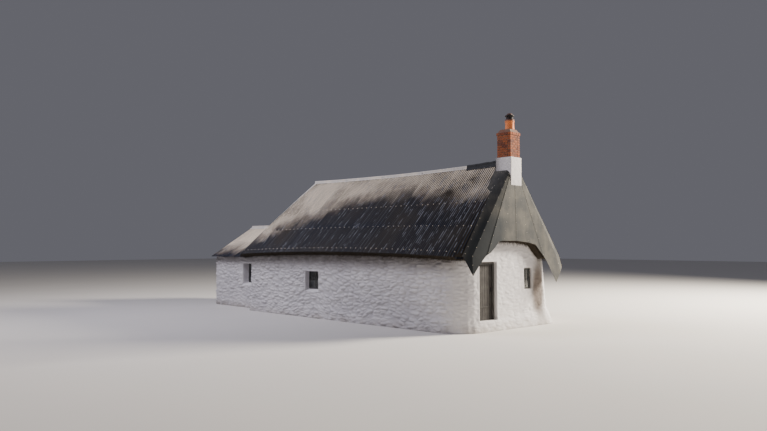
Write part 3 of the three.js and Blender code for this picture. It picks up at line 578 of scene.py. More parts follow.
def iron_black_finish(tree):
    """Black iron with rust patches, which cover most of the cowl's collar and crown"""
    look = settings("chimney")
    rust = patches(tree, 14.0, 0.6, 0.1)
    height = place_parts(tree)[2]
    crown = remap(tree, height, *COWL_CROWN)
    collar = times(tree, remap(tree, height, *COWL_COLLAR_TOP), remap(tree, height, *COWL_COLLAR_FOOT))
    rusted = times(tree, calc(tree, "MAXIMUM", crown, collar), 0.75)
    share = calc(tree, "MAXIMUM", times(tree, rust, 0.5), rusted)
    return {
        "Base Color": mix(tree, share, look.iron, IRON_RUST),
        "Metallic": 0.2,
        "Roughness": remap(tree, rust, 0.0, 1.0, 0.65, 0.85),
        "Specular IOR Level": 0.2,
        "Normal": grit(tree, 90.0, 0.001, 0.5),
    }


def brick_finish(tree):
    look = settings("chimney")
    base = mix(tree, remap(tree, attribute(tree, "tint"), 0.35, 1.0), look.brick, look.burnt)
    base = coat(tree, base, BRIGHT_BRICK, patches(tree, 30.0, 0.6, 0.1), 0.35)
    base = coat(tree, base, SOOTY_BRICK, patches(tree, 3.5, 0.6, 0.12), 0.3)
    return {"Base Color": base, "Roughness": 0.9, "Normal": grit(tree, 60.0, 0.003, 0.6)}


def mortar_finish(first, second):
    def finish(tree):
        base = mix(tree, patches(tree, 6.0, 0.5, 0.15), first, second)
        return {"Base Color": base, "Roughness": 0.95, "Normal": grit(tree, 80.0, 0.003, 0.7)}

    return finish


def pot_finish(tree):
    look = settings("chimney")
    base = coat(tree, look.pot, POT_MOTTLE, patches(tree, 9.0, 0.5, 0.25), 0.5)
    base = coat(tree, base, POT_SOOT, remap(tree, place_parts(tree)[2], *POT_RIM), 0.6)
    return {"Base Color": base, "Roughness": 0.75, "Normal": grit(tree, 50.0, 0.001, 0.5)}


def flags_finish(tree):
    look = settings("walls")
    inputs = {
        "Vector": object_place(tree), "Scale": 1.0, "Mortar Size": 0.008, "Brick Width": 0.7,
        "Row Height": 0.5, "Color1": (*look.flags, 1), "Color2": (*FLAG_SHADE, 1), "Mortar": (*FLAG_JOINT, 1),
    }
    colours, joints = put(tree, "ShaderNodeTexBrick", inputs).outputs
    base = coat(tree, colours, FLAG_WEAR, patches(tree, 2.0, 0.5, 0.2), 0.4)
    normal = bump(tree, calc(tree, "SUBTRACT", 1.0, joints), 0.006, 0.7)
    return {"Base Color": base, "Roughness": 0.75, "Normal": normal}


def floor_finish(tree):
    look = settings("stage")
    tone = clouds(tree, object_place(tree), 0.3, 2.0, 0.55)
    return {"Base Color": mix(tree, tone, look.floor, [0.94 * c for c in look.floor]), "Roughness": 0.9}


FINISHES = {}


def finishes(name):
    """Each finish of the house by its plain name"""
    sheets, timber, chimney = settings("sheets"), settings("timber"), settings("chimney")
    makers = {
        "limewash": limewash_finish,
        "corrugated iron": iron_finish,
        "hood sheet": hood_finish,
        "ridge sheet": plain_sheet(sheets.ridge, sheets.bare, 0.62),
        "lead": plain_sheet(sheets.lead, sheets.hood, 0.68),
        "fixing": plain_sheet(sheets.ridge, sheets.bare, 0.5),
        "straw": straw_finish,
        "old wood": wood_finish(timber.wood, timber.grain),
        "frame wood": wood_finish(timber.stile, timber.wood),
        "window paint": old_paint(timber.window, PEELED_PAINT),
        "pale paint": old_paint(timber.bar_paint, timber.wood),
        "window glass": glass_finish,
        "black iron": iron_black_finish,
        "brick": brick_finish,
        "mortar": mortar_finish(chimney.mortar, DIRTY_MORTAR),
        "brick dust mortar": mortar_finish(chimney.haunch, chimney.mortar),
        "fired clay": pot_finish,
        "stone flags": flags_finish,
        "studio floor": floor_finish,
    }
    if name not in FINISHES:
        FINISHES[name] = material(name, makers[name])
    return FINISHES[name]


# Meshes

def smooth_step(value):
    value = np.clip(value, 0, 1)
    return value * value * (3 - 2 * value)


def grid_faces(rows, columns, first=0):
    corner = (np.arange(rows - 1)[:, None] * columns + np.arange(columns - 1)).ravel() + first
    return np.stack([corner, corner + 1, corner + columns + 1, corner + columns], 1)


def ring_faces(rings, sides, closed=False):
    """Faces between rings of points that follow each other"""
    here = np.arange(rings if closed else rings - 1)[:, None] * sides
    above = (here + sides) % (rings * sides)
    first, after = np.arange(sides), np.roll(np.arange(sides), -1)
    return np.stack([here + first, here + after, above + after, above + first], 2).reshape(-1, 4).tolist()


def slab(outer, inner):
    """A closed skin between two grids of points. Rows go up and columns go right, seen from outside"""
    rows, columns = outer.shape[:2]
    count = rows * columns
    bottom, top = np.arange(columns), (rows - 1) * columns + np.arange(columns)
    left, right = np.arange(rows) * columns, np.arange(rows) * columns + columns - 1
    ring = np.concatenate([bottom, right[1:], top[-2::-1], left[-2:0:-1]])
    after = np.roll(ring, -1)
    rim = np.stack([after, ring, ring + count, after + count], 1)
    points = np.concatenate([outer.reshape(-1, 3), inner.reshape(-1, 3)])
    faces = np.concatenate([grid_faces(rows, columns), grid_faces(rows, columns, count)[:, ::-1], rim])
    return points, faces


def joined(parts):
    """Several sets of points and faces as one"""
    points, faces, first = [], [], 0
    for part_points, part_faces in parts:
        points.append(np.asarray(part_points))
        faces.extend([[int(i) + first for i in face] for face in part_faces])
        first += len(part_points)
    return np.concatenate(points), faces


def store(mesh, key, values):
    """A number or a vector for each point of a mesh"""
    values = np.asarray(values, np.float32)
    kind, field = ("FLOAT_VECTOR", "vector") if values.ndim == 2 else ("FLOAT", "value")
    mesh.attributes.new(key, kind, "POINT").data.foreach_set(field, values.ravel())


def mesh_of(name, points, faces, **attributes):
    mesh = bpy.data.meshes.new(name)
    mesh.from_pydata(np.asarray(points).tolist(), [], [list(map(int, face)) for face in faces])
    for key, values in attributes.items():
        store(mesh, key, values)
    return mesh


def noise_at(points, scale, shift=(0, 0, 0)):
    """Smooth noise at every point of a grid"""
    values = [noise.noise(Vector(point) * scale + Vector(shift)) for point in points.reshape(-1, 3)]
    return np.array(values).reshape(points.shape[:-1])


@contextmanager
def edited(mesh):
    """A mesh while it is open for editing"""
    edit = bmesh.new()
    edit.from_mesh(mesh)
    yield edit
    edit.to_mesh(mesh)
    edit.free()


def clean(mesh, distance=1e-5):
    """Points that lie on each other become one, and faces without area go"""
    with edited(mesh) as edit:
        bmesh.ops.remove_doubles(edit, verts=edit.verts, dist=distance)
        bmesh.ops.dissolve_degenerate(edit, edges=edit.edges, dist=distance)
    return mesh


def shaded(mesh, degrees=40):
    mesh.shade_smooth()
    mesh.set_sharp_from_angle(angle=math.radians(degrees))
    return mesh


def paint(mesh, finish):
    mesh.materials.clear()
    mesh.materials.append(finishes(finish))


def show(name, mesh, finish, body=HOUSE, replaces=(), *, slot):
    """A finished piece on its body"""
    paint(mesh, finish)
    piece = bpy.data.objects.new(name, mesh)
    bpy.context.scene.collection.objects.link(piece)
    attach(piece, body)
    if replaces:
        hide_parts(*replaces)


def dress(finish, *nodes):
    """Nodes whose shape is right get their finish"""
    for node in nodes:
        paint(frame["nodes"][node].data, finish)


def with_modifiers(mesh, *modifiers):
    """The mesh that a chain of modifiers makes"""
    helper = bpy.data.objects.new("helper", mesh)
    bpy.context.scene.collection.objects.link(helper)
    for kind, values in modifiers:
        modifier = helper.modifiers.new(kind, kind)
        inputs = values.pop("inputs", {})
        for key, value in values.items():
            setattr(modifier, key, value)
        if inputs:
            sockets = {
                item.name: item.identifier
                for item in modifier.node_group.interface.items_tree
                if item.item_type == "SOCKET" and item.in_out == "INPUT"
            }
            for key, value in inputs.items():
                modifier[sockets[key]] = value
    made = bpy.data.meshes.new_from_object(helper.evaluated_get(bpy.context.evaluated_depsgraph_get()))
    helper.modifiers.clear()
    bpy.data.objects.remove(helper)
    return made


def copy_of(*nodes):
    """A merged copy of some nodes' meshes"""
    mesh = bpy.data.meshes.new("copy")
    with edited(mesh) as edit:
        for node in nodes:
            edit.from_mesh(frame["nodes"][node].data)
        bmesh.ops.remove_doubles(edit, verts=edit.verts, dist=1e-5)
        bmesh.ops.dissolve_limit(edit, angle_limit=math.radians(0.5), verts=edit.verts, edges=edit.edges)
    return mesh


def softened(name, finish, node, width, body=HOUSE, *, slot):
    """A node with its sharp edges taken off"""
    bevel = {"width": width, "segments": 2, "limit_method": "ANGLE", "angle_limit": math.radians(35)}
    mesh = with_modifiers(copy_of(node), ("BEVEL", bevel))
    show(name, shaded(mesh), finish, body, [node], slot=slot)


def chamfered_box():
    """A box from -1 to 1 with bevelled edges: the signs of its points, how they are pulled in, its faces"""
    edit = bmesh.new()
    bmesh.ops.create_cube(edit, size=2)
    bmesh.ops.bevel(edit, geom=edit.edges[:], offset=0.1, segments=1, affect="EDGES")
    points = np.array([v.co for v in edit.verts])
    faces = [[v.index for v in face.verts] for face in edit.faces]
    edit.free()
    return np.sign(points), np.abs(points) < 0.95, faces


def blocks(boxes, chamfer, uneven, seed):
    """Chamfered blocks from their lowest and highest corners, each a little off and with a random tint"""
    random = np.random.default_rng(seed)
    signs, pulled, faces = chamfered_box()
    parts, tints = [], []
    for low, high in np.array(boxes):
        centre, half = (low + high) / 2, (high - low) / 2
        points = centre + signs * (half - pulled * min(chamfer, 0.4 * half.min()))
        points += random.uniform(-uneven, uneven, 3)
        parts.append((points, faces))
        tints.append(np.full(len(points), random.random()))
    points, faces = joined(parts)
    return mesh_of("blocks", points, faces, tint=np.concatenate(tints))


def turned(profile, centre, sides=64):
    """A closed profile of radii and heights turned about an upright line"""
    angles = np.linspace(0, 2 * math.pi, sides, endpoint=False)
    radii, heights = np.array(profile).T
    x = centre[0] + radii[:, None] * np.cos(angles)
    y = centre[1] + radii[:, None] * np.sin(angles)
    points = np.stack([x, y, np.broadcast_to(heights[:, None], x.shape)], 2)
    faces = ring_faces(len(profile), sides, closed=True)
    mesh = clean(mesh_of("turned", points.reshape(-1, 3), faces))
    with edited(mesh) as edit:
        bmesh.ops.recalc_face_normals(edit, faces=edit.faces)
    return mesh


def tube(rings):
    """A closed body through a run of closed rings of points"""
    rings = np.asarray(rings)
    count, sides = rings.shape[:2]
    first_end = list(range(sides))[::-1]
    last_end = [(count - 1) * sides + side for side in range(sides)]
    return rings.reshape(-1, 3), [*ring_faces(count, sides), first_end, last_end]


# Roof surfaces

def eaves_z(x):
    return EAVES_MIDDLE - EAVES_BOW * (x / GABLE_X) ** 2


def ridge_z(x):
    return RIDGE_MIDDLE + RIDGE_SAG * (x / RIDGE_SAG_REACH) ** 2


def outline(rise, depth=0.0):
    """The roof's level outline: rise is 0 at the eaves and 1 at the ridge, and depth goes into the roof"""
    rise = np.maximum(rise, 0)
    spread = 1 - rise
    reach = RIGHT_RIDGE_REACH + (RIGHT_EAVES_REACH - RIGHT_RIDGE_REACH) * spread
    return {
        "left": LEFT_X - LEFT_EAVES_REACH + LEFT_HIP_LEAN * rise + THATCH_IN * depth,
        "right": GABLE_X + reach - THATCH_IN_GABLE * depth,
        "half": (HALF_WIDTH + EAVES_OVERHANG - THATCH_IN * depth) * spread,
        "corner_left": (CORNER_LEFT - THATCH_IN * depth) * spread,
        "corner_right": (CORNER_FRONT - THATCH_IN * depth) * spread,
        "corner_back": (CORNER_BACK - THATCH_IN * depth) * spread,
    }


def round_point(place, form):
    """The point at a place round an outline: 0 to 1 is the front, 1 to 2 its right corner, and so on"""
    side = np.floor(np.mod(place, 8)).astype(int)
    share = place - np.floor(place)
    s, c = np.sin(share * QUARTER), np.cos(share * QUARTER)
    left, right, half = form["left"], form["right"], form["half"]
    near_left, near_right, near_back = form["corner_left"], form["corner_right"], form["corner_back"]
    inner_left, inner_right, inner_back = left + near_left, right - near_right, right - near_back
    y_left, y_right, y_back = half - near_left, half - near_right, half - near_back
    along = inner_left + share * (inner_right - inner_left)
    back = inner_back + share * (inner_left - inner_back)
    x = [
        along, inner_right + near_right * s, right + 0 * share, inner_back + near_back * c,
        back, inner_left - near_left * s, left + 0 * share, inner_left - near_left * c,
    ]
    y = [
        -half + 0 * share, -y_right - near_right * c, -y_right + share * (y_right + y_back),
        y_back + near_back * s, half + 0 * share, y_left + near_left * c, y_left - 2 * share * y_left,
        -y_left - near_left * s,
    ]
    tests = [side == i for i in range(8)]
    return np.select(tests, x), np.select(tests, y)


def roof_point(place, rise, depth=0.0):
    """Points of the roof as an array whose last axis is x, y and z"""
    place, rise, depth = np.broadcast_arrays(*(np.asarray(v, float) for v in (place, rise, depth)))
    form = outline(rise, depth)
    x, y = round_point(place, form)
    low = eaves_z(x) - THATCH_DOWN_EAVES * depth
    high = ridge_z(x) - THATCH_DOWN_RIDGE * depth
    z = low + rise * (high - low)
    stand = np.maximum(-rise, 0) * (high - low) * HOOD_FLARE
    flared = dict(form, right=form["right"] + stand, half=form["half"] + stand)
    x, y = round_point(place, flared)
    return np.stack([x, y, z], -1)


def hood_edge(rise, corner="corner_right"):
    """Where the sheets give way to the hood, as a place on the front, or on the back drawn as the front"""
    rise = np.maximum(rise, 0)
    form = outline(rise)
    radius = np.maximum(form[corner], 1e-6)
    start = form["right"] - form[corner]
    past = GABLE_X + HOOD_EDGE_EAVES + (HOOD_EDGE_RIDGE - HOOD_EDGE_EAVES) * rise - start
    first = form["left"] + form["corner_left"]
    straight = (start + past - first) / (start - first)
    turn = math.pi / 4 + np.arcsin(np.clip((past / radius - 1) / math.sqrt(2), -1, 1))
    return np.where(past < 0, straight, 1 + turn / QUARTER)


def rise_at(place, z):
    x, _ = round_point(np.asarray(place, float), outline(0.0))
    return (z - eaves_z(x)) / (ridge_z(x) - eaves_z(x))


def outward(points):
    """Unit normals of a grid of points whose rows go up and columns go right"""
    up = np.gradient(points, axis=0)
    right = np.gradient(points, axis=1)
    normal = np.cross(right, up)
    return normal / np.maximum(np.linalg.norm(normal, axis=-1, keepdims=True), 1e-12)


def front_point(x, rise, corner="corner_right"):
    """The front slope over a plan line of constant x"""
    form = outline(rise)
    y = -form["half"]
    corners = ((form["corner_left"], form["left"], -1), (form[corner], form["right"], 1))
    for radius, end, way in corners:
        past = np.clip(way * x - (way * end - radius), 0, radius)
        y = y + radius - np.sqrt(np.maximum(radius**2 - past**2, 0))
    z = eaves_z(x) + rise * (ridge_z(x) - eaves_z(x))
    return np.stack([x + 0 * y, y, z], -1)


def hip_point(y, rise):
    """The left hip over a plan line of constant y"""
    form = outline(rise)
    radius = form["corner_left"]
    past = np.clip(np.abs(y) - (form["half"] - radius), 0, radius)
    x = form["left"] + radius - np.sqrt(np.maximum(radius**2 - past**2, 0))
    z = eaves_z(x) + rise * (ridge_z(x) - eaves_z(x))
    return np.stack([x, y + 0 * x, z], -1)


HIP_SHARE = 1 - math.sqrt(0.5)  # how far the middle of a rounded corner lies inside its square corner


def right_edge_line(rises, corner):
    """x of the line along which the sheets of the front or the back meet the hood"""
    place = hood_edge(rises, corner)
    return roof_point(place if corner == "corner_right" else 5 - place, rises)[:, 0]


def front_limits(x, corner="corner_right"):
    """The rise at which a corrugation of the front slope ends"""
    rises = np.linspace(0, 1, 400)
    left_edge = outline(rises)["left"] + HIP_SHARE * outline(rises)["corner_left"]
    right_edge = right_edge_line(rises, corner)
    from_left = np.interp(x, left_edge, rises)
    from_right = np.interp(x, right_edge[::-1], rises[::-1])
    return np.minimum(np.minimum(from_left, from_right), RIDGE_STOP)


def hip_limits(y):
    form = outline(0.0)
    reach = form["half"] - HIP_SHARE * form["corner_left"]
    return np.clip(1 - np.abs(y) / reach, 0, RIDGE_STOP)


# Geometry trees

def geometry_group(name, sizes):
    """An empty tree with inputs for the geometry, its sizes and its material"""
    kinds = {key: ("Int" if isinstance(size, int) else "Float", size) for key, size in sizes.items()}
    inputs = {"Geometry": ("Geometry", None), **kinds, "Material": ("Material", None)}
    return new_group("GeometryNodeTree", name, inputs, {"Geometry": ("Geometry", None)})


def named(group, name, kind="FLOAT"):
    """An attribute of the geometry"""
    return put(group, "GeometryNodeInputNamedAttribute", {"Name": name}, data_type=kind).outputs[0]


def finish_tree(group, geometry, chosen, leave):
    real = put(group, "GeometryNodeRealizeInstances", {"Geometry": geometry})
    painted = put(group, "GeometryNodeSetMaterial", {"Geometry": real.outputs[0], "Material": chosen})
    group.links.new(painted.outputs[0], leave["Geometry"])


TREES = {}


def by_tree(mesh, build, finish, inputs):
    """The mesh that a geometry tree makes of another, with its sizes and its finish"""
    if build not in TREES:
        TREES[build] = build()
    inputs["Material"] = finishes(finish)
    return with_modifiers(mesh, ("NODES", {"node_group": TREES[build], "inputs": inputs}))


# Corrugated sheets

def corrugate_tree():
    """Turns a smooth skin into lapped corrugated sheets"""
    group, entry, leave = geometry_group("corrugate", {
        "Pitch": 0.076, "Depth": 0.018, "Sheet Width": 0.608, "Lap": 0.003, "Lap Line": 1.1,
        "Thickness": 0.002,
    })
    across, down = named(group, "across"), named(group, "down")
    turn = times(group, calc(group, "DIVIDE", across, entry["Pitch"]), math.tau)
    crest = calc(group, "MULTIPLY_ADD", calc(group, "COSINE", turn), 0.5, 0.5)
    side_lap = calc(group, "FRACT", calc(group, "DIVIDE", across, entry["Sheet Width"]))
    side_lap = calc(group, "SUBTRACT", 1.0, times(group, side_lap, 6.0), clamp=True)
    above = calc(group, "SUBTRACT", down, entry["Lap Line"])
    end_lap = calc(group, "SUBTRACT", 1.0, times(group, above, 3.0), clamp=True)
    end_lap = times(group, end_lap, calc(group, "GREATER_THAN", above, 0.0))
    lift = times(group, calc(group, "MULTIPLY_ADD", end_lap, 1.6, side_lap), entry["Lap"])
    height = calc(group, "MULTIPLY_ADD", calc(group, "SUBTRACT", crest, 1.0), entry["Depth"], lift)
    offset = vector_calc(group, "SCALE", named(group, "out", "FLOAT_VECTOR"), height)
    stored = put(
        group, "GeometryNodeStoreNamedAttribute",
        {"Geometry": entry["Geometry"], "Name": "crest", "Value": crest}, data_type="FLOAT", domain="POINT",
    )
    waved = put(group, "GeometryNodeSetPosition", {"Geometry": stored.outputs[0], "Offset": offset})
    thick = put(
        group, "GeometryNodeExtrudeMesh",
        {"Mesh": waved.outputs[0], "Offset Scale": entry["Thickness"], "Individual": False}, mode="FACES",
    )
    under = put(group, "GeometryNodeFlipFaces", {"Mesh": waved.outputs[0]})
    both = put(group, "GeometryNodeJoinGeometry")
    group.links.new(thick.outputs[0], both.inputs[0])
    group.links.new(under.outputs[0], both.inputs[0])
    welded = put(group, "GeometryNodeMergeByDistance", {"Geometry": both.outputs[0], "Distance": 1e-5})
    finish_tree(group, welded.outputs[0], entry["Material"], leave)
    return group


def corrugated(points, across, down):
    """Lapped corrugated sheets over a grid of points"""
    look = settings("sheets")
    rows, columns = points.shape[:2]
    normals = outward(points)
    mesh = mesh_of(
        "skin", points.reshape(-1, 3), grid_faces(rows, columns),
        across=across.ravel(), down=down.ravel(), out=normals.reshape(-1, 3),
    )
    inputs = {
        "Pitch": look.pitch, "Depth": look.depth, "Sheet Width": look.sheet_width, "Lap": look.lap,
        "Lap Line": LAP_LINE * SLOPE_LENGTH, "Thickness": look.thickness,
    }
    return shaded(by_tree(clean(mesh, 1e-4), corrugate_tree, "corrugated iron", inputs), 50)


def dents(points):
    """A gentle unevenness that sheets laid over old thatch take on"""
    return np.minimum(0.012 * noise_at(points, 0.9) + 0.004 * noise_at(points, 3.1), 0.002)


def columns_between(low, high):
    """Plan lines close enough to draw the corrugations"""
    count = round((high - low) / settings("sheets").pitch * 6)
    return np.linspace(low, high, count + 1)


def slope_sheets(line, limits, point, foot=0.0):
    """Sheets over one slope, whose corrugations follow the given plan lines"""
    rows = np.sort([*np.linspace(0, RIDGE_STOP, 21), LAP_LINE - LAP_STEP, LAP_LINE + LAP_STEP])
    rises = np.minimum(rows[:, None], limits(line)[None, :])
    rises[0] += foot
    points = point(line[None, :] + 0 * rises, rises)
    points = points + outward(points) * (dents(points)[..., None] - 0.004)
    return points, line[None, :] + 0 * rises, rises * SLOPE_LENGTH


def mirrored(points):
    """The same slope at the back, with its columns still going right as seen from outside"""
    return points[:, ::-1] * FLIP


# Fixings

def fixings_tree():
    """Small domed washers on a mesh of points, each turned to the point's outward direction"""
    group, entry, leave = geometry_group("fixings", {"Radius": 0.012, "Height": 0.009})
    top = calc(group, "MULTIPLY", entry["Radius"], 0.45)
    dome = put(
        group, "GeometryNodeMeshCone",
        {"Vertices": 8, "Radius Top": top, "Radius Bottom": entry["Radius"], "Depth": entry["Height"]},
    )
    out = named(group, "out", "FLOAT_VECTOR")
    turn = put(group, "FunctionNodeAlignRotationToVector", {"Vector": out}, axis="Z")
    placed = put(
        group, "GeometryNodeInstanceOnPoints",
        {"Points": entry["Geometry"], "Instance": dome.outputs[0], "Rotation": turn.outputs[0]},
    )
    finish_tree(group, placed.outputs[0], entry["Material"], leave)
    return group


def fixings(name, points, normals, radius, slot):
    spots = mesh_of("spots", points, [], out=normals)
    made = by_tree(spots, fixings_tree, "fixing", {"Radius": radius, "Height": radius * 0.75})
    show(name, shaded(made, 30), "fixing", slot=slot)


def slope_fixings(low, high, limits, point):
    """Fixings on every third crest of one slope, in rows"""
    pitch = settings("sheets").pitch
    crests = np.arange(math.ceil(low / pitch), math.floor(high / pitch) + 1)
    spots = []
    for number, rise in enumerate(FIXING_ROWS):
        line = crests[number % 2 :: 3] * pitch
        line = line[limits(line) > rise + 0.01]
        spots.append(np.stack([line, np.full_like(line, rise)], 1))
    line, rise = np.concatenate(spots).T
    here, beside, above = point(line, rise), point(line + 0.01, rise), point(line, rise + 0.01)
    normals = np.cross(beside - here, above - here)
    if normals[0, 2] < 0:
        normals = -normals
    normals /= np.linalg.norm(normals, axis=1, keepdims=True)
    return here - normals * 0.001, normals


SHEET_END = 0.002  # how far the outermost plan lines stay inside the slope
LAST_SHEET = 0.17  # width of the sheet beside the hood, which hangs lower than the others
LAST_SHEET_DROP = -0.022  # the rise at its lower edge


class COTTAGE_OT_roof_sheets(bpy.types.Operator):
    """Lay the corrugated sheets on the front, the back and the left hip, with their fixings"""

    bl_idname = "cottage.roof_sheets"
    bl_label = "Roof sheets"

    def execute(self, context):
        eaves = outline(0.0)
        left = float(eaves["left"] + HIP_SHARE * eaves["corner_left"])
        spots, normals = [], []
        for name, corner in (("front", "corner_right"), ("back", "corner_back")):
            limits, point = partial(front_limits, corner=corner), partial(front_point, corner=corner)
            right = float(right_edge_line(np.linspace(0, 1, 400), corner).max())
            line = columns_between(left + SHEET_END, right - SHEET_END)
            foot = np.where(line > right - LAST_SHEET, LAST_SHEET_DROP, 0.0) if name == "front" else 0.0
            points, across, down = slope_sheets(line, limits, point, foot)
            heads, ways = slope_fixings(left, right, limits, point)
            if name == "back":
                points, across, down = mirrored(points), across[:, ::-1], down[:, ::-1]
                heads, ways = heads * FLIP, ways * FLIP
            spots.append(heads)
            normals.append(ways)
            self.lay(name, points, across, down)
        reach = float(eaves["half"] - HIP_SHARE * eaves["corner_left"]) - SHEET_END
        grids = slope_sheets(columns_between(-reach, reach), hip_limits, hip_point)
        self.lay("left_hip", *(grid[:, ::-1] for grid in grids))
        heads, ways = slope_fixings(-reach, reach, hip_limits, hip_point)
        spots, normals = np.concatenate([*spots, heads]), np.concatenate([*normals, ways])
        fixings("roof_fixings", spots, normals, radius=0.016, slot="ridge_sheet")
        return {"FINISHED"}

    def lay(self, name, points, across, down):
        mesh = corrugated(points, across + ACROSS_START[name], down)
        show("iron_" + name, mesh, "corrugated iron", replaces=["roof_iron_" + name], slot="roof_iron")


# Hood

def hood_low(place):
    """The rise of the hood's lower edge at a place, which runs up to the eaves over the two cheeks"""
    places, heights = np.array(HOOD_EDGE).T
    edge = rise_at(places, heights)
    near, far = float(hood_edge(0.0)), 5 - float(hood_edge(0.0, "corner_back"))
    return np.interp(place, [near, *places, far], [0.0, *edge, 0.0])


def far_hood_edge(rise):
    return 5 - hood_edge(rise, "corner_back")


HOOD_FLATNESS = 0.85  # how far the sheets are flat between their folds
HOOD_THICKNESS = 0.012
HOOD_LIFTS = (0.02, 0.008)  # of every other sheet over the thatch, so that they lap
SEAM_RIVETS = 0.085  # step from rivet to rivet, as a share of the rise
CHEEK_RIVETS = 0.07
HOOD_LAP = 0.02  # how far the hood's sheets reach over the roof's, as a share of a side
SEAMS = [1.655, 1.98, 2.19, 2.4, 2.6, 2.8, 3.0, 3.345]  # folds and laps of the hood, as places


def hood_strip(first, last, lift):
    """One upright sheet of the hood between two places, which may change with the rise"""
    low_places = np.array([place for place, _ in HOOD_EDGE])
    shares = (low_places - first(0.0)) / (last(0.0) - first(0.0))
    shares = np.unique(np.concatenate([np.linspace(0, 1, 9), shares[(shares > 0.02) & (shares < 0.98)]]))
    rows = np.linspace(0, 1, 25)
    low = hood_low(first(0.0) + (last(0.0) - first(0.0)) * shares)
    rises = low[None, :] + (RIDGE_STOP - low[None, :]) * rows[:, None]
    starts, ends = first(rises), last(rises)
    places = starts + (ends - starts) * shares[None, :]
    buckle = 0.7 * (0.03 * noise_at(roof_point(places, rises), 1.4, (7, 3, 1)))
    sides = []
    for depth in (buckle - lift, buckle - lift + HOOD_THICKNESS):
        bent = roof_point(places, rises, depth)
        near, far = np.clip(starts, 1, 4), np.clip(ends, 1, 4)
        flat = np.clip((places - near) / np.maximum(far - near, 1e-6), 0, 1)[..., None]
        flat = roof_point(near, rises, depth) * (1 - flat) + roof_point(far, rises, depth) * flat
        straight = (places < 1) | (places > 4)
        sides.append(bent + (flat - bent) * np.where(straight, 0, HOOD_FLATNESS)[..., None])
    return slab(*sides)


def constant(place):
    """An edge of the hood that stays at one place"""
    return lambda rise: place + 0 * np.asarray(rise, float)


def shifted(edge, way):
    """An edge of the hood moved a little"""
    return lambda rise: edge(rise) + way


def chimney_hides(points):
    low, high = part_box("chimney_base")
    return np.all((points > np.array(low) + 0.03) & (points < np.array(high) - 0.03), axis=1)


class COTTAGE_OT_hood(bpy.types.Operator):
    """Bend the smooth sheets of the hood round the chimney gable"""

    bl_idname = "cottage.hood"
    bl_label = "Hood"

    def execute(self, context):
        bounds = [hood_edge, *(constant(seam) for seam in SEAMS), far_hood_edge]
        strips = []
        for number, (first, last) in enumerate(zip(bounds, bounds[1:])):
            lift = HOOD_LIFTS[number % 2]
            inner = 0 < number < len(bounds) - 2
            before = HOOD_LAP if number == 0 else inner * HOOD_LAP / 2
            after = HOOD_LAP if number == len(bounds) - 2 else inner * HOOD_LAP / 2
            strips.append(hood_strip(shifted(first, -before), shifted(last, after), lift))
        points, faces = joined(strips)
        hidden = chimney_hides(points)
        mesh = clean(mesh_of("hood", points, [face for face in faces if not all(hidden[face])]), 1e-6)
        nodes = ["hood_front", "hood_gable", "hood_back"]
        show("hood_sheets", shaded(mesh, 25), "hood sheet", replaces=nodes, slot="hood_sheet")
        spots = []
        for seam in SEAMS:
            rises = np.arange(float(hood_low(seam)) + 0.02, 0.93, SEAM_RIVETS)
            spots.append(np.stack([np.full_like(rises, seam), rises], 1))
        rises = np.arange(0.03, 0.95, CHEEK_RIVETS)
        for places in (hood_edge(rises) + 0.012, far_hood_edge(rises) - 0.012):
            spots.append(np.stack([places, rises], 1))
        place, rise = np.concatenate(spots).T
        here = roof_point(place, rise, -0.015)
        normals = roof_point(place, rise, -1.0) - roof_point(place, rise, 0.0)
        normals /= np.linalg.norm(normals, axis=1, keepdims=True)
        keep = ~chimney_hides(here)
        fixings("hood_fixings", here[keep], normals[keep], radius=0.009, slot="hood_sheet")
        return {"FINISHED"}


# Ridge and hips

RIDGE_SHEET_LENGTH = 1.8
RIDGE_FORM = {"thick": 0.004, "roll": 0.034, "lift": 0.004}
LEAD_FORM = {"thick": 0.01, "roll": 0.042, "lift": 0.006, "wrinkle": 0.012}
LEAD_SWELL = 0.015  # how much the lead rises towards the chimney
STRIP_HALF = 0.1  # half of the width of the strips on the hips
STRIP_LIFT = 0.03
STRIP_THICKNESS = 0.012


def rolled_section(side, roll, crown, slope, count):
    """The outline of a folded sheet with a roll on its crown, from one side given from its edge upwards"""
    wing = side[0][0]
    turns = np.linspace(-ROLL_TURN, math.pi + ROLL_TURN, count)
    roll_points = [(roll * math.cos(t), crown + roll * (0.3 + math.sin(t))) for t in turns]
    under = [(-wing, -wing * slope), (0, 0), (wing, -wing * slope)]
    return [*under, *side, *roll_points, *((-y, z) for y, z in reversed(side))]


def ridge_section(x, wing, thick, roll, lift, swell=0.0, wrinkle=0.0):
    """The outline of a folded ridge sheet with a roll on its crown, at one x"""
    slope = (ridge_z(x) - eaves_z(x)) / (HALF_WIDTH + EAVES_OVERHANG)
    crown = thick + swell
    foot = roll * math.cos(ROLL_TURN)
    run = np.linspace(wing, foot, 6)
    share = (wing - run) / (wing - foot)
    side = [(y, thick + (crown - thick) * t - y * slope) for y, t in zip(run, share)]
    section = rolled_section(side, roll, crown, slope, 19)
    base = ridge_z(x) + lift
    return [(x, y, base + z + wrinkle * noise.noise(Vector((x * 7, y * 9, z * 5)))) for y, z in section]


def ridge_lengths(start, end, length, **form):
    """Lengths of ridge sheet that lap each other"""
    count = max(1, round((end - start) / length))
    edges = np.linspace(start, end, count + 1)
    parts = []
    for number, (first, last) in enumerate(zip(edges, edges[1:])):
        lift = form["lift"] + (0.003 if number % 2 else 0.0)
        xs = np.linspace(first - (0.05 if number else 0), last, 14)
        parts.append(tube([ridge_section(x, **dict(form, lift=lift)) for x in xs]))
    return joined(parts)


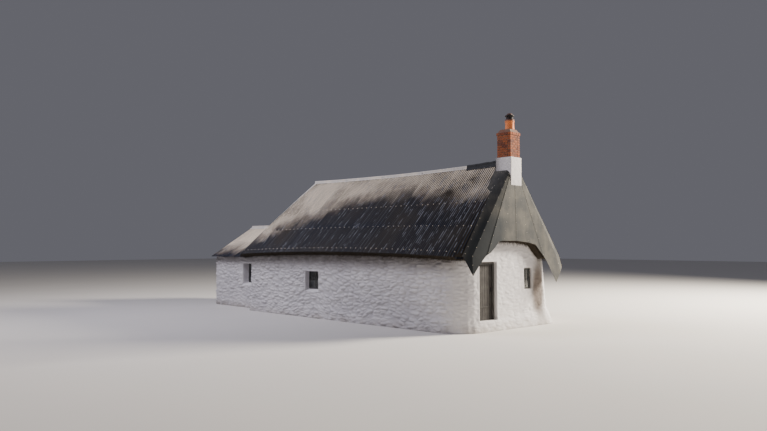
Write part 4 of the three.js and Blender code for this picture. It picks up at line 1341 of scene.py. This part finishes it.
def hip_strip():
    """A smooth sheet folded over the front left hip, from the eaves to the ridge"""
    rises = np.linspace(-0.008, 0.985, 44)[:, None]
    form = outline(rises)
    arc = form["corner_left"] * QUARTER
    front = form["right"] - form["corner_right"] - form["left"] - form["corner_left"]
    side = 2 * (form["half"] - form["corner_left"])
    aside = np.linspace(-1, 1, 13)[None, :] * STRIP_HALF
    aside = np.maximum(aside, -(arc / 2 + 0.46 * side))
    bend = 7.5 + aside / np.maximum(arc, 1e-6)
    places = np.where(aside > arc / 2, 8 + (aside - arc / 2) / front, bend)
    places = np.where(aside < -arc / 2, 7 + (aside + arc / 2) / np.maximum(side, 1e-6), places)
    return slab(
        roof_point(places, rises, -STRIP_LIFT), roof_point(places, rises, STRIP_THICKNESS - STRIP_LIFT)
    )


class COTTAGE_OT_ridge(bpy.types.Operator):
    """Set the rolled ridge sheets, the dressed lead beside the chimney and the strips on the hips"""

    bl_idname = "cottage.ridge"
    bl_label = "Ridge"

    def execute(self, context):
        low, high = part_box("ridge_cap")
        lengths = ridge_lengths(low.x, FLASHING_START, RIDGE_SHEET_LENGTH, wing=high.y, **RIDGE_FORM)
        mesh = shaded(mesh_of("ridge", *lengths))
        show("ridge_roll", mesh, "ridge sheet", replaces=["ridge_cap"], slot="ridge_sheet")
        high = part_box("ridge_flashing")[1]
        xs = np.linspace(FLASHING_START - 0.04, high.x, 40)
        share = np.clip((xs - FLASHING_START) / (high.x - FLASHING_START), 0, 1)
        swells = LEAD_SWELL * share**2 * (3 - 2 * share)
        rings = [ridge_section(x, high.y, swell=swell, **LEAD_FORM) for x, swell in zip(xs, swells)]
        mesh = shaded(mesh_of("lead", *tube(rings)))
        show("ridge_lead", mesh, "lead", replaces=["ridge_flashing"], slot="lead")
        points, faces = hip_strip()
        flipped = [list(face)[::-1] for face in faces]
        points, faces = joined([(points, faces), (points * FLIP, flipped)])
        mesh = clean(mesh_of("hips", points, faces), 1e-6)
        show("hip_sheets", shaded(mesh, 50), "ridge sheet", slot="ridge_sheet")
        return {"FINISHED"}


# Thatch

def straw_tree():
    """Loose straw ends scattered on an unseen strip, which lie along its own direction"""
    sizes = {"Density": 900.0, "Length": 0.1, "Radius": 0.003, "Seed": 1}
    group, entry, leave = geometry_group("straw ends", sizes)
    scatter = put(
        group, "GeometryNodeDistributePointsOnFaces",
        {"Mesh": entry["Geometry"], "Density": entry["Density"], "Seed": entry["Seed"]},
    )
    straw = put(
        group, "GeometryNodeMeshCone",
        {"Vertices": 4, "Radius Top": 0.001, "Radius Bottom": entry["Radius"], "Depth": entry["Length"]},
    )
    lie = named(group, "lie", "FLOAT_VECTOR")
    turn = put(group, "FunctionNodeAlignRotationToVector", {"Vector": lie}, axis="Z")
    angles = {0: (-0.3, -0.3, 0.0), 1: (0.3, 0.3, 6.28)}
    stray = put(group, "FunctionNodeRandomValue", angles, data_type="FLOAT_VECTOR")
    turns = {0: turn.outputs[0], 1: stray.outputs[0]}
    tilt = put(group, "FunctionNodeRotateRotation", turns, rotation_space="LOCAL")
    size = put(group, "FunctionNodeRandomValue", {2: 0.4, 3: 1.25}, data_type="FLOAT")
    placed = put(
        group, "GeometryNodeInstanceOnPoints",
        {
            "Points": scatter.outputs[0], "Instance": straw.outputs[0], "Rotation": tilt.outputs[0],
            "Scale": size.outputs[1],
        },
    )
    tint = put(group, "FunctionNodeRandomValue", {2: 0.0, 3: 1.0}, data_type="FLOAT")
    tinted = put(
        group, "GeometryNodeStoreNamedAttribute",
        {"Geometry": placed.outputs[0], "Name": "tint", "Value": tint.outputs[1]},
        data_type="FLOAT", domain="INSTANCE",
    )
    finish_tree(group, tinted.outputs[0], entry["Material"], leave)
    return group


def thatch_arch(places):
    """The rise of the thatch's lower edge under the hood"""
    near, far = float(hood_edge(0.0)), float(far_hood_edge(0.0))
    arch_places, heights = np.array(HOOD_EDGE).T
    arch = np.maximum(rise_at(arch_places, heights + 0.12), 0.0)
    return np.interp(places, [near, *arch_places, far], [0.0, *arch, 0.0], left=0.0, right=0.0)


def thatch_end():
    """The thatch under the hood, which lies a little lower than elsewhere"""
    shares = np.linspace(0, 1, 61)[None, :]
    rows = np.linspace(0, 1, 30)[:, None]
    near, far = float(hood_edge(0.0)), float(far_hood_edge(0.0))
    rises = thatch_arch(near + (far - near) * shares)
    rises = rises + (RIDGE_STOP - 0.01 - rises) * rows
    starts, ends = hood_edge(rises) + 0.002, far_hood_edge(rises) - 0.002
    places = starts + (ends - starts) * shares
    sunk = 0.08 + 0.32 * smooth_step(np.minimum(shares, 1 - shares) / 0.06)
    uneven = 0.05 * noise_at(roof_point(places, rises), 2.2)
    return slab(roof_point(places, rises, sunk + uneven), roof_point(places, rises, 0.99 + uneven))


def straw_strip():
    """The lip of the thatch all round, and over the arch under the hood"""
    places = np.concatenate([np.linspace(3.51, 9.49, 260), np.linspace(9.49, 11.51, 90)])
    arch = thatch_arch(places - 8)
    depths = np.linspace(0.12, 0.95, 5)[:, None]
    points = roof_point(places[None, :], arch[None, :], depths)
    lie = points - roof_point(places[None, :], arch[None, :] + 0.1, depths)
    lie /= np.linalg.norm(lie, axis=-1, keepdims=True)
    return mesh_of("lip", points.reshape(-1, 3), grid_faces(*points.shape[:2]), lie=lie.reshape(-1, 3))


class COTTAGE_OT_thatch(bpy.types.Operator):
    """Finish the thatch that shows under the sheets, with its loose straw ends"""

    bl_idname = "cottage.thatch"
    bl_label = "Thatch"

    def execute(self, context):
        look = settings("thatch")
        dress("straw", "thatch_front", "thatch_back", "thatch_left_hip")
        points, faces = thatch_end()
        mesh = clean(mesh_of("end", points, faces), 1e-6)
        show("thatch_under_hood", shaded(mesh, 50), "straw", replaces=["thatch_right_end"], slot="thatch")
        sizes = {"Density": look.density, "Length": look.length, "Radius": look.radius, "Seed": look.seed}
        show("straw_ends", by_tree(straw_strip(), straw_tree, "straw", sizes), "straw", slot="thatch")
        return {"FINISHED"}


# Walls

GABLE_SIDE = 4.3  # x beyond which the masonry belongs to the gable and lies calmer
LEFT_SIDE = -4.5  # x beyond which it belongs to the left end
# Boxes round the rooms, whose faces stay plain
HOUSE_ROOM = ((-4.8, -2.1, -1.0), (4.8, 2.1, 9.0))
ANNEX_ROOM = ((-7.95, -1.65, -1.0), (-4.0, 1.65, 9.0))


def distance_to_boxes(points, boxes):
    """How far each point lies from the nearest of some boxes"""
    nearest = np.full(len(points), 1e3)
    for low, high in boxes:
        aside = np.maximum(np.maximum(low - points, points - high), 0)
        nearest = np.minimum(nearest, np.linalg.norm(aside, axis=1))
    return nearest


def stone_relief(place, length, height):
    """Height of a lumpy rubble face over its hollows at a place, from about 0 to 1, and its hollows"""
    warp = noise.noise_vector(place * 2.3) * 0.05
    flow = 0.2 * noise.noise(place * 0.62 + Vector((5.0, 1.0, 2.0)))
    spot = Vector((
        (place.x + warp.x) / length, (place.y + warp.y) / length, (place.z + warp.z * 0.6 + flow) / height
    ))
    distances, centres = noise.voronoi(spot)
    joint = min((distances[1] - distances[0]) / 0.42, 1.0)
    face = joint * joint * (3 - 2 * joint)
    stands = noise.cell(centres[0] * 3.7)
    wrinkle = noise.noise(Vector((place.x * 4.0, place.y * 4.0, (place.z + flow) * 11.0)))
    return face * (0.7 + 0.3 * stands) + 0.42 * wrinkle, 1 - face


def lumpy(nodes, grain, relief, boxes, most, scale=1.0, room=None):
    """Nodes of masonry as one body with the lumps of rubble under old limewash"""
    look = settings("walls")
    mesh = with_modifiers(copy_of(*nodes), ("REMESH", {"mode": "VOXEL", "voxel_size": grain}))
    points, normals = points_of(mesh)
    upright = smooth_step((0.85 - np.abs(normals[:, 2])) / 0.3)
    clear = smooth_step(distance_to_boxes(points, boxes) / 0.1)
    if room:
        low, high = np.array(room)
        clear = clear * np.any((points < low) | (points > high), axis=1)
    calm = 1 - 0.6 * smooth_step((points[:, 0] - GABLE_SIDE) / 0.5)
    heights, hollows = np.zeros(len(points)), np.zeros(len(points))
    for i in np.nonzero(upright * clear)[0]:
        place = Vector(points[i])
        stone, hollow = stone_relief(place, look.stone_length * scale, look.stone_height * scale)
        bulge = 0.012 * noise.noise(place * 0.8) + 0.005 * noise.noise(place * 7)
        heights[i] = relief * calm[i] * (stone - 0.78) + bulge
        hollows[i] = hollow * calm[i]
    move = np.minimum(heights, 0.012) * upright * clear
    points = points + normals * move[:, None]
    points[:, 2] = np.maximum(points[:, 2], 0)
    mesh.vertices.foreach_set("co", points.ravel())
    store(mesh, "hollow", hollows * clear)
    faces = len(mesh.polygons) * 2
    if faces > most:
        mesh = with_modifiers(mesh, ("DECIMATE", {"ratio": most / faces}))
    return mesh


def points_of(mesh):
    """The points and the normals of a mesh"""
    arrays = []
    for key in ("co", "normal"):
        values = np.zeros(len(mesh.vertices) * 3)
        mesh.vertices.foreach_get(key, values)
        arrays.append(values.reshape(-1, 3))
    return arrays


def parted(mesh, choose):
    """A mesh in pieces, whose faces a function sorts by their middles, with the shading of the whole"""
    points, normals = points_of(mesh)
    hollow = np.zeros(len(points), np.float32)
    mesh.attributes["hollow"].data.foreach_get("value", hollow)
    mesh.calc_loop_triangles()
    corners = np.zeros(len(mesh.loop_triangles) * 3, np.int32)
    mesh.loop_triangles.foreach_get("vertices", corners)
    corners = corners.reshape(-1, 3)
    kinds = choose(points[corners].mean(axis=1))
    pieces = {}
    for kind in np.unique(kinds):
        used, faces = np.unique(corners[kinds == kind], return_inverse=True)
        piece = mesh_of("walls", points[used], faces.reshape(-1, 3), hollow=hollow[used])
        piece.shade_smooth()
        piece.normals_split_custom_set_from_vertices(normals[used].tolist())
        pieces[int(kind)] = piece
    return pieces


class COTTAGE_OT_walls(bpy.types.Operator):
    """Build up the rubble walls of the house and the annex under their limewash"""

    bl_idname = "cottage.walls"
    bl_label = "Walls"

    def execute(self, context):
        look = settings("walls")
        boxes = [box for name, box in OPENINGS.items() if "window" in name or "door" in name]
        gable = [
            "gable_wall", "corner_front_right", "corner_back_right", "door_head_wall", "door_sill_wall",
            "door_lintel",
        ]
        pieces = {
            0: ("front_rubble", ["front_wall"]),
            1: ("gable_rubble", gable),
            2: ("back_rubble", ["back_wall"]),
            3: ("left_rubble", ["left_end_wall"]),
        }
        house = [node for _, nodes in pieces.values() for node in nodes]
        whole = lumpy(house, look.grain, look.relief, boxes, most=440000, room=HOUSE_ROOM)

        def side(middles):
            ends = np.where(middles[:, 0] > GABLE_SIDE, 1, np.where(middles[:, 1] < 0, 0, 2))
            return np.where(middles[:, 0] < LEFT_SIDE, 3, ends)

        for kind, mesh in parted(whole, side).items():
            name, nodes = pieces[kind]
            show(name, mesh, "limewash", replaces=nodes, slot="whitewash")
        annex = ["annex_front_wall", "annex_back_wall", "annex_end_wall"]
        mesh = lumpy(annex, look.grain * 1.2, look.relief, boxes, most=110000, room=ANNEX_ROOM)
        show("annex_rubble", shaded(mesh, 180), "limewash", replaces=annex, slot="whitewash")
        mesh = lumpy(["chimney_base"], grain=0.014, relief=0.008, boxes=[], most=30000, scale=0.6)
        show("chimney_shoulder", shaded(mesh, 70), "limewash", replaces=["chimney_base"], slot="whitewash")
        dress("stone flags", "floor_slab", "annex_floor")
        return {"FINISHED"}


# Door

PLANK_THICKNESS = 0.024
DOOR_RAIL = 0.68  # height of the rail across the door's face
BATTENS = (0.62, 1.13, 1.64)  # heights of the battens on its back


class COTTAGE_OT_door(bpy.types.Operator):
    """Make the plank door and its frame, and finish its ironwork"""

    bl_idname = "cottage.door"
    bl_label = "Door"

    def execute(self, context):
        look = settings("timber")
        low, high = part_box("door_leaf")
        face, back = high.x, low.x
        planks = face - PLANK_THICKNESS
        count = round((high.y - low.y) / look.plank)
        edges = np.linspace(low.y, high.y, count + 1)
        boxes = []
        for left, right in zip(edges[:-1] + look.gap / 2, edges[1:] - look.gap / 2):
            boxes.append(((planks, left, DOOR_RAIL + 0.002), (face - 0.002, right, high.z)))
            boxes.append(((planks, left, low.z), (face - 0.004, right, DOOR_RAIL - 0.002)))
        rail_foot = (face - 0.008, low.y + 0.004, DOOR_RAIL - 0.022)
        boxes.append((rail_foot, (face + 0.004, high.y - 0.004, DOOR_RAIL + 0.022)))
        for middle in BATTENS:
            batten_foot = (back, low.y + 0.02, middle - 0.055)
            boxes.append((batten_foot, (planks - 0.0004, high.y - 0.02, middle + 0.055)))
        leaf = shaded(blocks(boxes, chamfer=0.003, uneven=0.0007, seed=3), 30)
        show("plank_leaf", leaf, "old wood", DOOR, ["door_leaf"], slot="old_wood")
        softened("door_surround", "frame wood", "door_frame", 0.004, slot="old_wood")
        softened("latch_grip", "black iron", "door_latch", 0.0015, DOOR, slot="black_iron")
        for end in ("bottom", "top"):
            softened("hinge_strap_" + end, "black iron", "door_strap_" + end, 0.001, DOOR, slot="black_iron")
            dress("black iron", "door_pintle_" + end)
        return {"FINISHED"}


# Windows

UPRIGHT_HALF = 0.016  # half depths of the bars
CROSS_HALF = 0.015


def window_bars(name, columns, rows):
    """Glazing bars before one pane"""
    look = settings("timber")
    low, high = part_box(name + "_window_pane")
    along = 0 if high.x - low.x > high.y - low.y else 1
    through = 1 - along
    middle = (low[through] + high[through]) / 2
    boxes = []

    def bar(along_from, along_to, z_from, z_to, depth):
        first, last = [0, 0, z_from], [0, 0, z_to]
        first[along], last[along] = along_from, along_to
        first[through], last[through] = middle - depth, middle + depth
        boxes.append((first, last))

    for i in range(1, columns):
        at = low[along] + (high[along] - low[along]) * i / columns
        bar(at - look.bar / 2, at + look.bar / 2, low.z, high.z, UPRIGHT_HALF)
    for i in range(1, rows):
        at = low.z + (high.z - low.z) * i / rows
        bar(low[along], high[along], at - look.bar / 2, at + look.bar / 2, CROSS_HALF)
    return boxes


class COTTAGE_OT_windows(bpy.types.Operator):
    """Make the window frames, their bars and the old glass"""

    bl_idname = "cottage.windows"
    bl_label = "Windows"

    def execute(self, context):
        panes = {"front": (2, 2), "back": (2, 2), "gable": (2, 1), "annex": (2, 2)}
        for name, (columns, rows) in panes.items():
            softened(name + "_sash", "window paint", name + "_window_frame", 0.004, slot="window_wood")
            bars = blocks(window_bars(name, columns, rows), chamfer=0.004, uneven=0.0, seed=2)
            finish = "pale paint" if name == "gable" else "window paint"
            show(name + "_bars", shaded(bars, 30), finish, slot="window_wood")
            dress("window glass", name + "_window_pane")
        return {"FINISHED"}


# Chimney

CAP_COURSE = 0.085  # height of the projecting course of the cap
CAP_TOP_HALF = 0.175  # half of the square top of the cap's mortar slope
BED_INSET = 0.007  # how far the mortar lies behind the bricks' faces


def brick_ring(low, high, z0, z1, depth, lengths, joint):
    """One course of bricks round a square stack"""
    boxes = []
    sides = (
        (low[0], low[1], 0, 1), (high[0], low[1], 1, 1), (high[0], high[1], 0, -1), (low[0], high[1], 1, -1),
    )
    for x, y, axis, way in sides:
        length = high[axis] - low[axis] - depth - joint
        shares = np.cumsum([0, *lengths]) / sum(lengths)
        start = 0.0
        for first, last in zip(shares, shares[1:]):
            a = start + first * (length + joint)
            b = start + last * (length + joint) - joint
            inward = 1 if (axis, way) in ((0, 1), (1, -1)) else -1
            if axis == 0:
                xs, ys = sorted((x + way * a, x + way * b)), sorted((y, y + inward * depth))
            else:
                xs, ys = sorted((x, x + inward * depth)), sorted((y + way * a, y + way * b))
            boxes.append(((xs[0], ys[0], z0), (xs[1], ys[1], z1)))
    return boxes


def courses(low, high, count, bond):
    """Courses of bricks round a square stack, whose lengths alternate"""
    look = settings("chimney")
    rise = (high.z - low.z) / count
    boxes = []
    for number in range(count):
        z0 = low.z + number * rise + look.joint / 2
        z1 = low.z + (number + 1) * rise - look.joint / 2
        boxes += brick_ring(
            (low.x, low.y), (high.x, high.y), z0, z1, look.brick_depth, bond[number % 2], look.joint
        )
    return boxes


def haunch_point(centre, half, height, turn):
    """A point of the sloped mortar on the stack; turn runs 0 to 4 round its four sides"""
    side, share = int(turn), 2 * (turn - int(turn)) - 1
    ways = ((share, -1), (1, share), (-share, 1), (-1, -share))
    x, y = (centre[0] + ways[side][0] * half, centre[1] + ways[side][1] * half)
    lump = 0.005 * noise.noise(Vector((x * 21, y * 21, height * 21))) - 0.003
    return (x + ways[side][0] * lump, y + ways[side][1] * lump, height + min(lump, 0))


class COTTAGE_OT_chimney(bpy.types.Operator):
    """Lay the bricks of the stack and its cap, and set the pot and the cowl"""

    bl_idname = "cottage.chimney"
    bl_label = "Chimney"

    def execute(self, context):
        look = settings("chimney")
        low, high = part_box("chimney_stack")
        cap_low, cap_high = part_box("chimney_cap")
        bricks = courses(low, high, look.courses, ((1, 1), (1, 2, 1)))
        shelf = cap_low.z + CAP_COURSE
        bricks += courses(cap_low, Vector((cap_high.x, cap_high.y, shelf)), 1, ((1, 2, 1),))
        mesh = shaded(blocks(bricks, chamfer=0.004, uneven=0.0015, seed=11), 30)
        show("stack_bricks", mesh, "brick", replaces=["chimney_stack", "chimney_cap"], slot="brick")
        inset = Vector((BED_INSET, BED_INSET, 0))
        bed = [
            (low + inset, Vector((high.x - BED_INSET, high.y - BED_INSET, cap_low.z + 0.001))),
            (cap_low + inset, Vector((cap_high.x - BED_INSET, cap_high.y - BED_INSET, shelf))),
        ]
        core = blocks(bed, chamfer=0.002, uneven=0.0, seed=1)
        core = with_modifiers(core, ("REMESH", {"mode": "VOXEL", "voxel_size": 0.012}))
        show("stack_mortar", shaded(core, 60), "mortar", slot="brick")
        middle = (cap_low + cap_high) / 2
        foot_half = (cap_high.x - cap_low.x) / 2 - 0.006
        turns = np.linspace(0, 4, 64, endpoint=False)
        rings = []
        for share in np.linspace(0, 1, 9):
            half = foot_half + (CAP_TOP_HALF - foot_half) * share
            height = shelf - 0.003 + (cap_high.z - shelf) * share**1.2
            rings.append([haunch_point(middle, half, height, turn) for turn in turns])
        show("cap_haunch", shaded(mesh_of("haunch", *tube(rings)), 50), "brick dust mortar", slot="brick")
        pot_low, pot_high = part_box("chimney_pot")
        centre = ((pot_low.x + pot_high.x) / 2, (pot_low.y + pot_high.y) / 2)
        base, top = pot_low.z, pot_high.z
        profile = [
            (0.108, base), (0.14, base), (0.14, base + 0.022), (0.137, base + 0.034), (0.133, base + 0.044),
            (0.13, base + 0.1), (0.128, top - 0.056), (0.133, top - 0.048), (0.14, top - 0.04),
            (0.142, top - 0.024), (0.14, top - 0.008), (0.134, top), (0.118, top), (0.112, top - 0.01),
            (0.108, base + 0.1),
        ]
        mesh = shaded(turned(profile, centre), 35)
        show("clay_pot", mesh, "fired clay", replaces=["chimney_pot"], slot="terracotta")
        foot, crown = (corner.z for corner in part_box("chimney_cowl"))
        profile = [
            (0.0, foot), (0.134, foot), (0.137, foot + 0.012), (0.137, foot + 0.028), (0.131, foot + 0.039),
            (0.115, foot + 0.047), (0.105, foot + 0.054), (0.102, foot + 0.07), (0.102, foot + 0.106),
            (0.108, foot + 0.116), (0.13, foot + 0.123), (0.137, foot + 0.132), (0.138, foot + 0.144),
            (0.132, foot + 0.157), (0.11, foot + 0.167), (0.088, foot + 0.175), (0.083, foot + 0.186),
            (0.08, foot + 0.202), (0.066, foot + 0.213), (0.044, crown - 0.008), (0.0, crown),
        ]
        mesh = shaded(turned(profile, centre), 35)
        show("pot_cowl", mesh, "black iron", replaces=["chimney_cowl"], slot="black_iron")
        return {"FINISHED"}


# Annex roof

ANNEX_SHEET_RISE = 0.02  # of the sheets' lower edge over the part's
ANNEX_REACH = 0.25  # how far the lines run on before the hip cuts them
ANNEX_HIP_GAP = 0.06  # how far the sheets run on inside the hip
ANNEX_RIDGE_WING = 0.15
ANNEX_RIDGE_ROLL = 0.03
ANNEX_RIDGE_THICKNESS = 0.006


class COTTAGE_OT_annex_roof(bpy.types.Operator):
    """Sheet the lower roof of the annex up to the hip"""

    bl_idname = "cottage.annex_roof"
    bl_label = "Annex roof"

    def execute(self, context):
        low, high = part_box("annex_roof_front")
        eaves, ridge, half = low.z + ANNEX_SHEET_RISE, high.z, -low.y
        line = columns_between(low.x + SHEET_END, high.x + ANNEX_REACH)
        shares = np.linspace(0, 0.998, 15)[:, None]
        x = line[None, :] + 0 * shares
        y = -half * (1 - shares) + 0 * x
        z = eaves + shares * (ridge - eaves) + 0 * x
        points = np.stack([x, y, z], -1)
        under = np.maximum((points[..., 2] - eaves_z(LEFT_X)) / (ridge_z(RIDGE_LEFT) - eaves_z(LEFT_X)), 0)
        surface = LEFT_X - LEFT_EAVES_REACH + LEFT_HIP_LEAN * under + ANNEX_HIP_GAP
        points[..., 0] = np.minimum(points[..., 0], surface)
        length = math.hypot(half, ridge - eaves)
        down = shares * length + 0 * x
        for name, grid in (("front", points), ("back", mirrored(points))):
            mesh = corrugated(grid, grid[..., 0] + ACROSS_START["annex_" + name], down)
            nodes = ["annex_roof_" + name]
            show("annex_iron_" + name, mesh, "corrugated iron", replaces=nodes, slot="roof_iron")
        slope = (ridge - eaves) / half
        thick, roll = ANNEX_RIDGE_THICKNESS, ANNEX_RIDGE_ROLL
        side = [(y, thick - y * slope) for y in (ANNEX_RIDGE_WING, roll)]
        section = rolled_section(side, roll, thick, slope, 15)
        xs = np.linspace(low.x, surface[-1, 0] - 0.08, 12)
        rings = [[(x, y, ridge + z + 0.001) for y, z in section] for x in xs]
        mesh = shaded(mesh_of("annex ridge", *tube(rings)))
        show("annex_ridge_roll", mesh, "ridge sheet", slot="ridge_sheet")
        return {"FINISHED"}


# Stage

def area_light(name, place, target, power, size, tint):
    light = bpy.data.lights.new(name, "AREA")
    light.energy = power
    light.shape = "RECTANGLE"
    light.size, light.size_y = size
    light.color = tint
    lamp = bpy.data.objects.new(name, light)
    lamp.location = place
    lamp.rotation_euler = (Vector(target) - Vector(place)).to_track_quat("-Z", "Y").to_euler()
    bpy.context.scene.collection.objects.link(lamp)


class COTTAGE_OT_stage(bpy.types.Operator):
    """Set up the plain floor, the soft light and the camera"""

    bl_idname = "cottage.stage"
    bl_label = "Stage"

    def execute(self, context):
        look = settings("stage")
        reach = 90.0
        corners = [(-reach, -reach), (reach, -reach), (reach, reach), (-reach, reach)]
        ground = mesh_of("floor", [(x, y, -0.002) for x, y in corners], [(0, 1, 2, 3)])
        paint(ground, "studio floor")
        floor = bpy.data.objects.new("studio_floor", ground)
        context.scene.collection.objects.link(floor)
        area_light("key", (14.5, 20, 14), (3, 0, 1.5), look.key, size=(7, 5), tint=(1.0, 0.91, 0.78))
        area_light("fill", (-6, -9.5, 15), (-3, -2, 1), look.fill, size=(9, 5), tint=(0.91, 0.88, 1.0))
        world = context.scene.world or bpy.data.worlds.new("surroundings")
        context.scene.world = world
        world.use_nodes = True
        shade = next(n for n in world.node_tree.nodes if n.type == "BACKGROUND")
        shade.inputs[0].default_value = (0.82, 0.82, 0.95, 1)
        shade.inputs[1].default_value = look.sky
        lens = bpy.data.cameras.new("camera")
        lens.sensor_width = 36
        lens.lens = CAMERA_LENS
        lens.clip_end = 300
        camera = bpy.data.objects.new("camera", lens)
        level = math.cos(CAMERA_PITCH)
        ahead = Vector(
            (-math.cos(CAMERA_YAW) * level, math.sin(CAMERA_YAW) * level, math.sin(CAMERA_PITCH))
        )
        camera.location = CAMERA_PLACE
        camera.rotation_euler = ahead.to_track_quat("-Z", "Y").to_euler()
        context.scene.collection.objects.link(camera)
        context.scene.camera = camera
        return {"FINISHED"}


OPERATORS = (
    COTTAGE_OT_walls, COTTAGE_OT_thatch, COTTAGE_OT_roof_sheets, COTTAGE_OT_hood, COTTAGE_OT_ridge,
    COTTAGE_OT_annex_roof, COTTAGE_OT_door, COTTAGE_OT_windows, COTTAGE_OT_chimney, COTTAGE_OT_stage,
)


class COTTAGE_PT_panel(bpy.types.Panel):
    """The pieces of the cottage in the order in which they are made"""

    bl_label = "Cottage"
    bl_idname = "COTTAGE_PT_panel"
    bl_space_type = "VIEW_3D"
    bl_region_type = "UI"
    bl_category = "Cottage"

    def draw(self, context):
        for name, group in SETTINGS.items():
            box = self.layout.box()
            for key in group.__annotations__:
                box.prop(getattr(context.scene, name), key)
        for operator in OPERATORS:
            self.layout.operator(operator.bl_idname)


def register():
    for group in (*SETTINGS.values(), *OPERATORS, COTTAGE_PT_panel):
        bpy.utils.register_class(group)
    for name, group in SETTINGS.items():
        setattr(bpy.types.Scene, name, PointerProperty(type=group))


def unregister():
    for name in SETTINGS:
        delattr(bpy.types.Scene, name)
    for group in reversed((*SETTINGS.values(), *OPERATORS, COTTAGE_PT_panel)):
        bpy.utils.unregister_class(group)


def main():
    register()
    for operator in OPERATORS:
        area, name = operator.bl_idname.split(".")
        getattr(getattr(bpy.ops, area), name)()


if __name__ == "__main__":
    main()
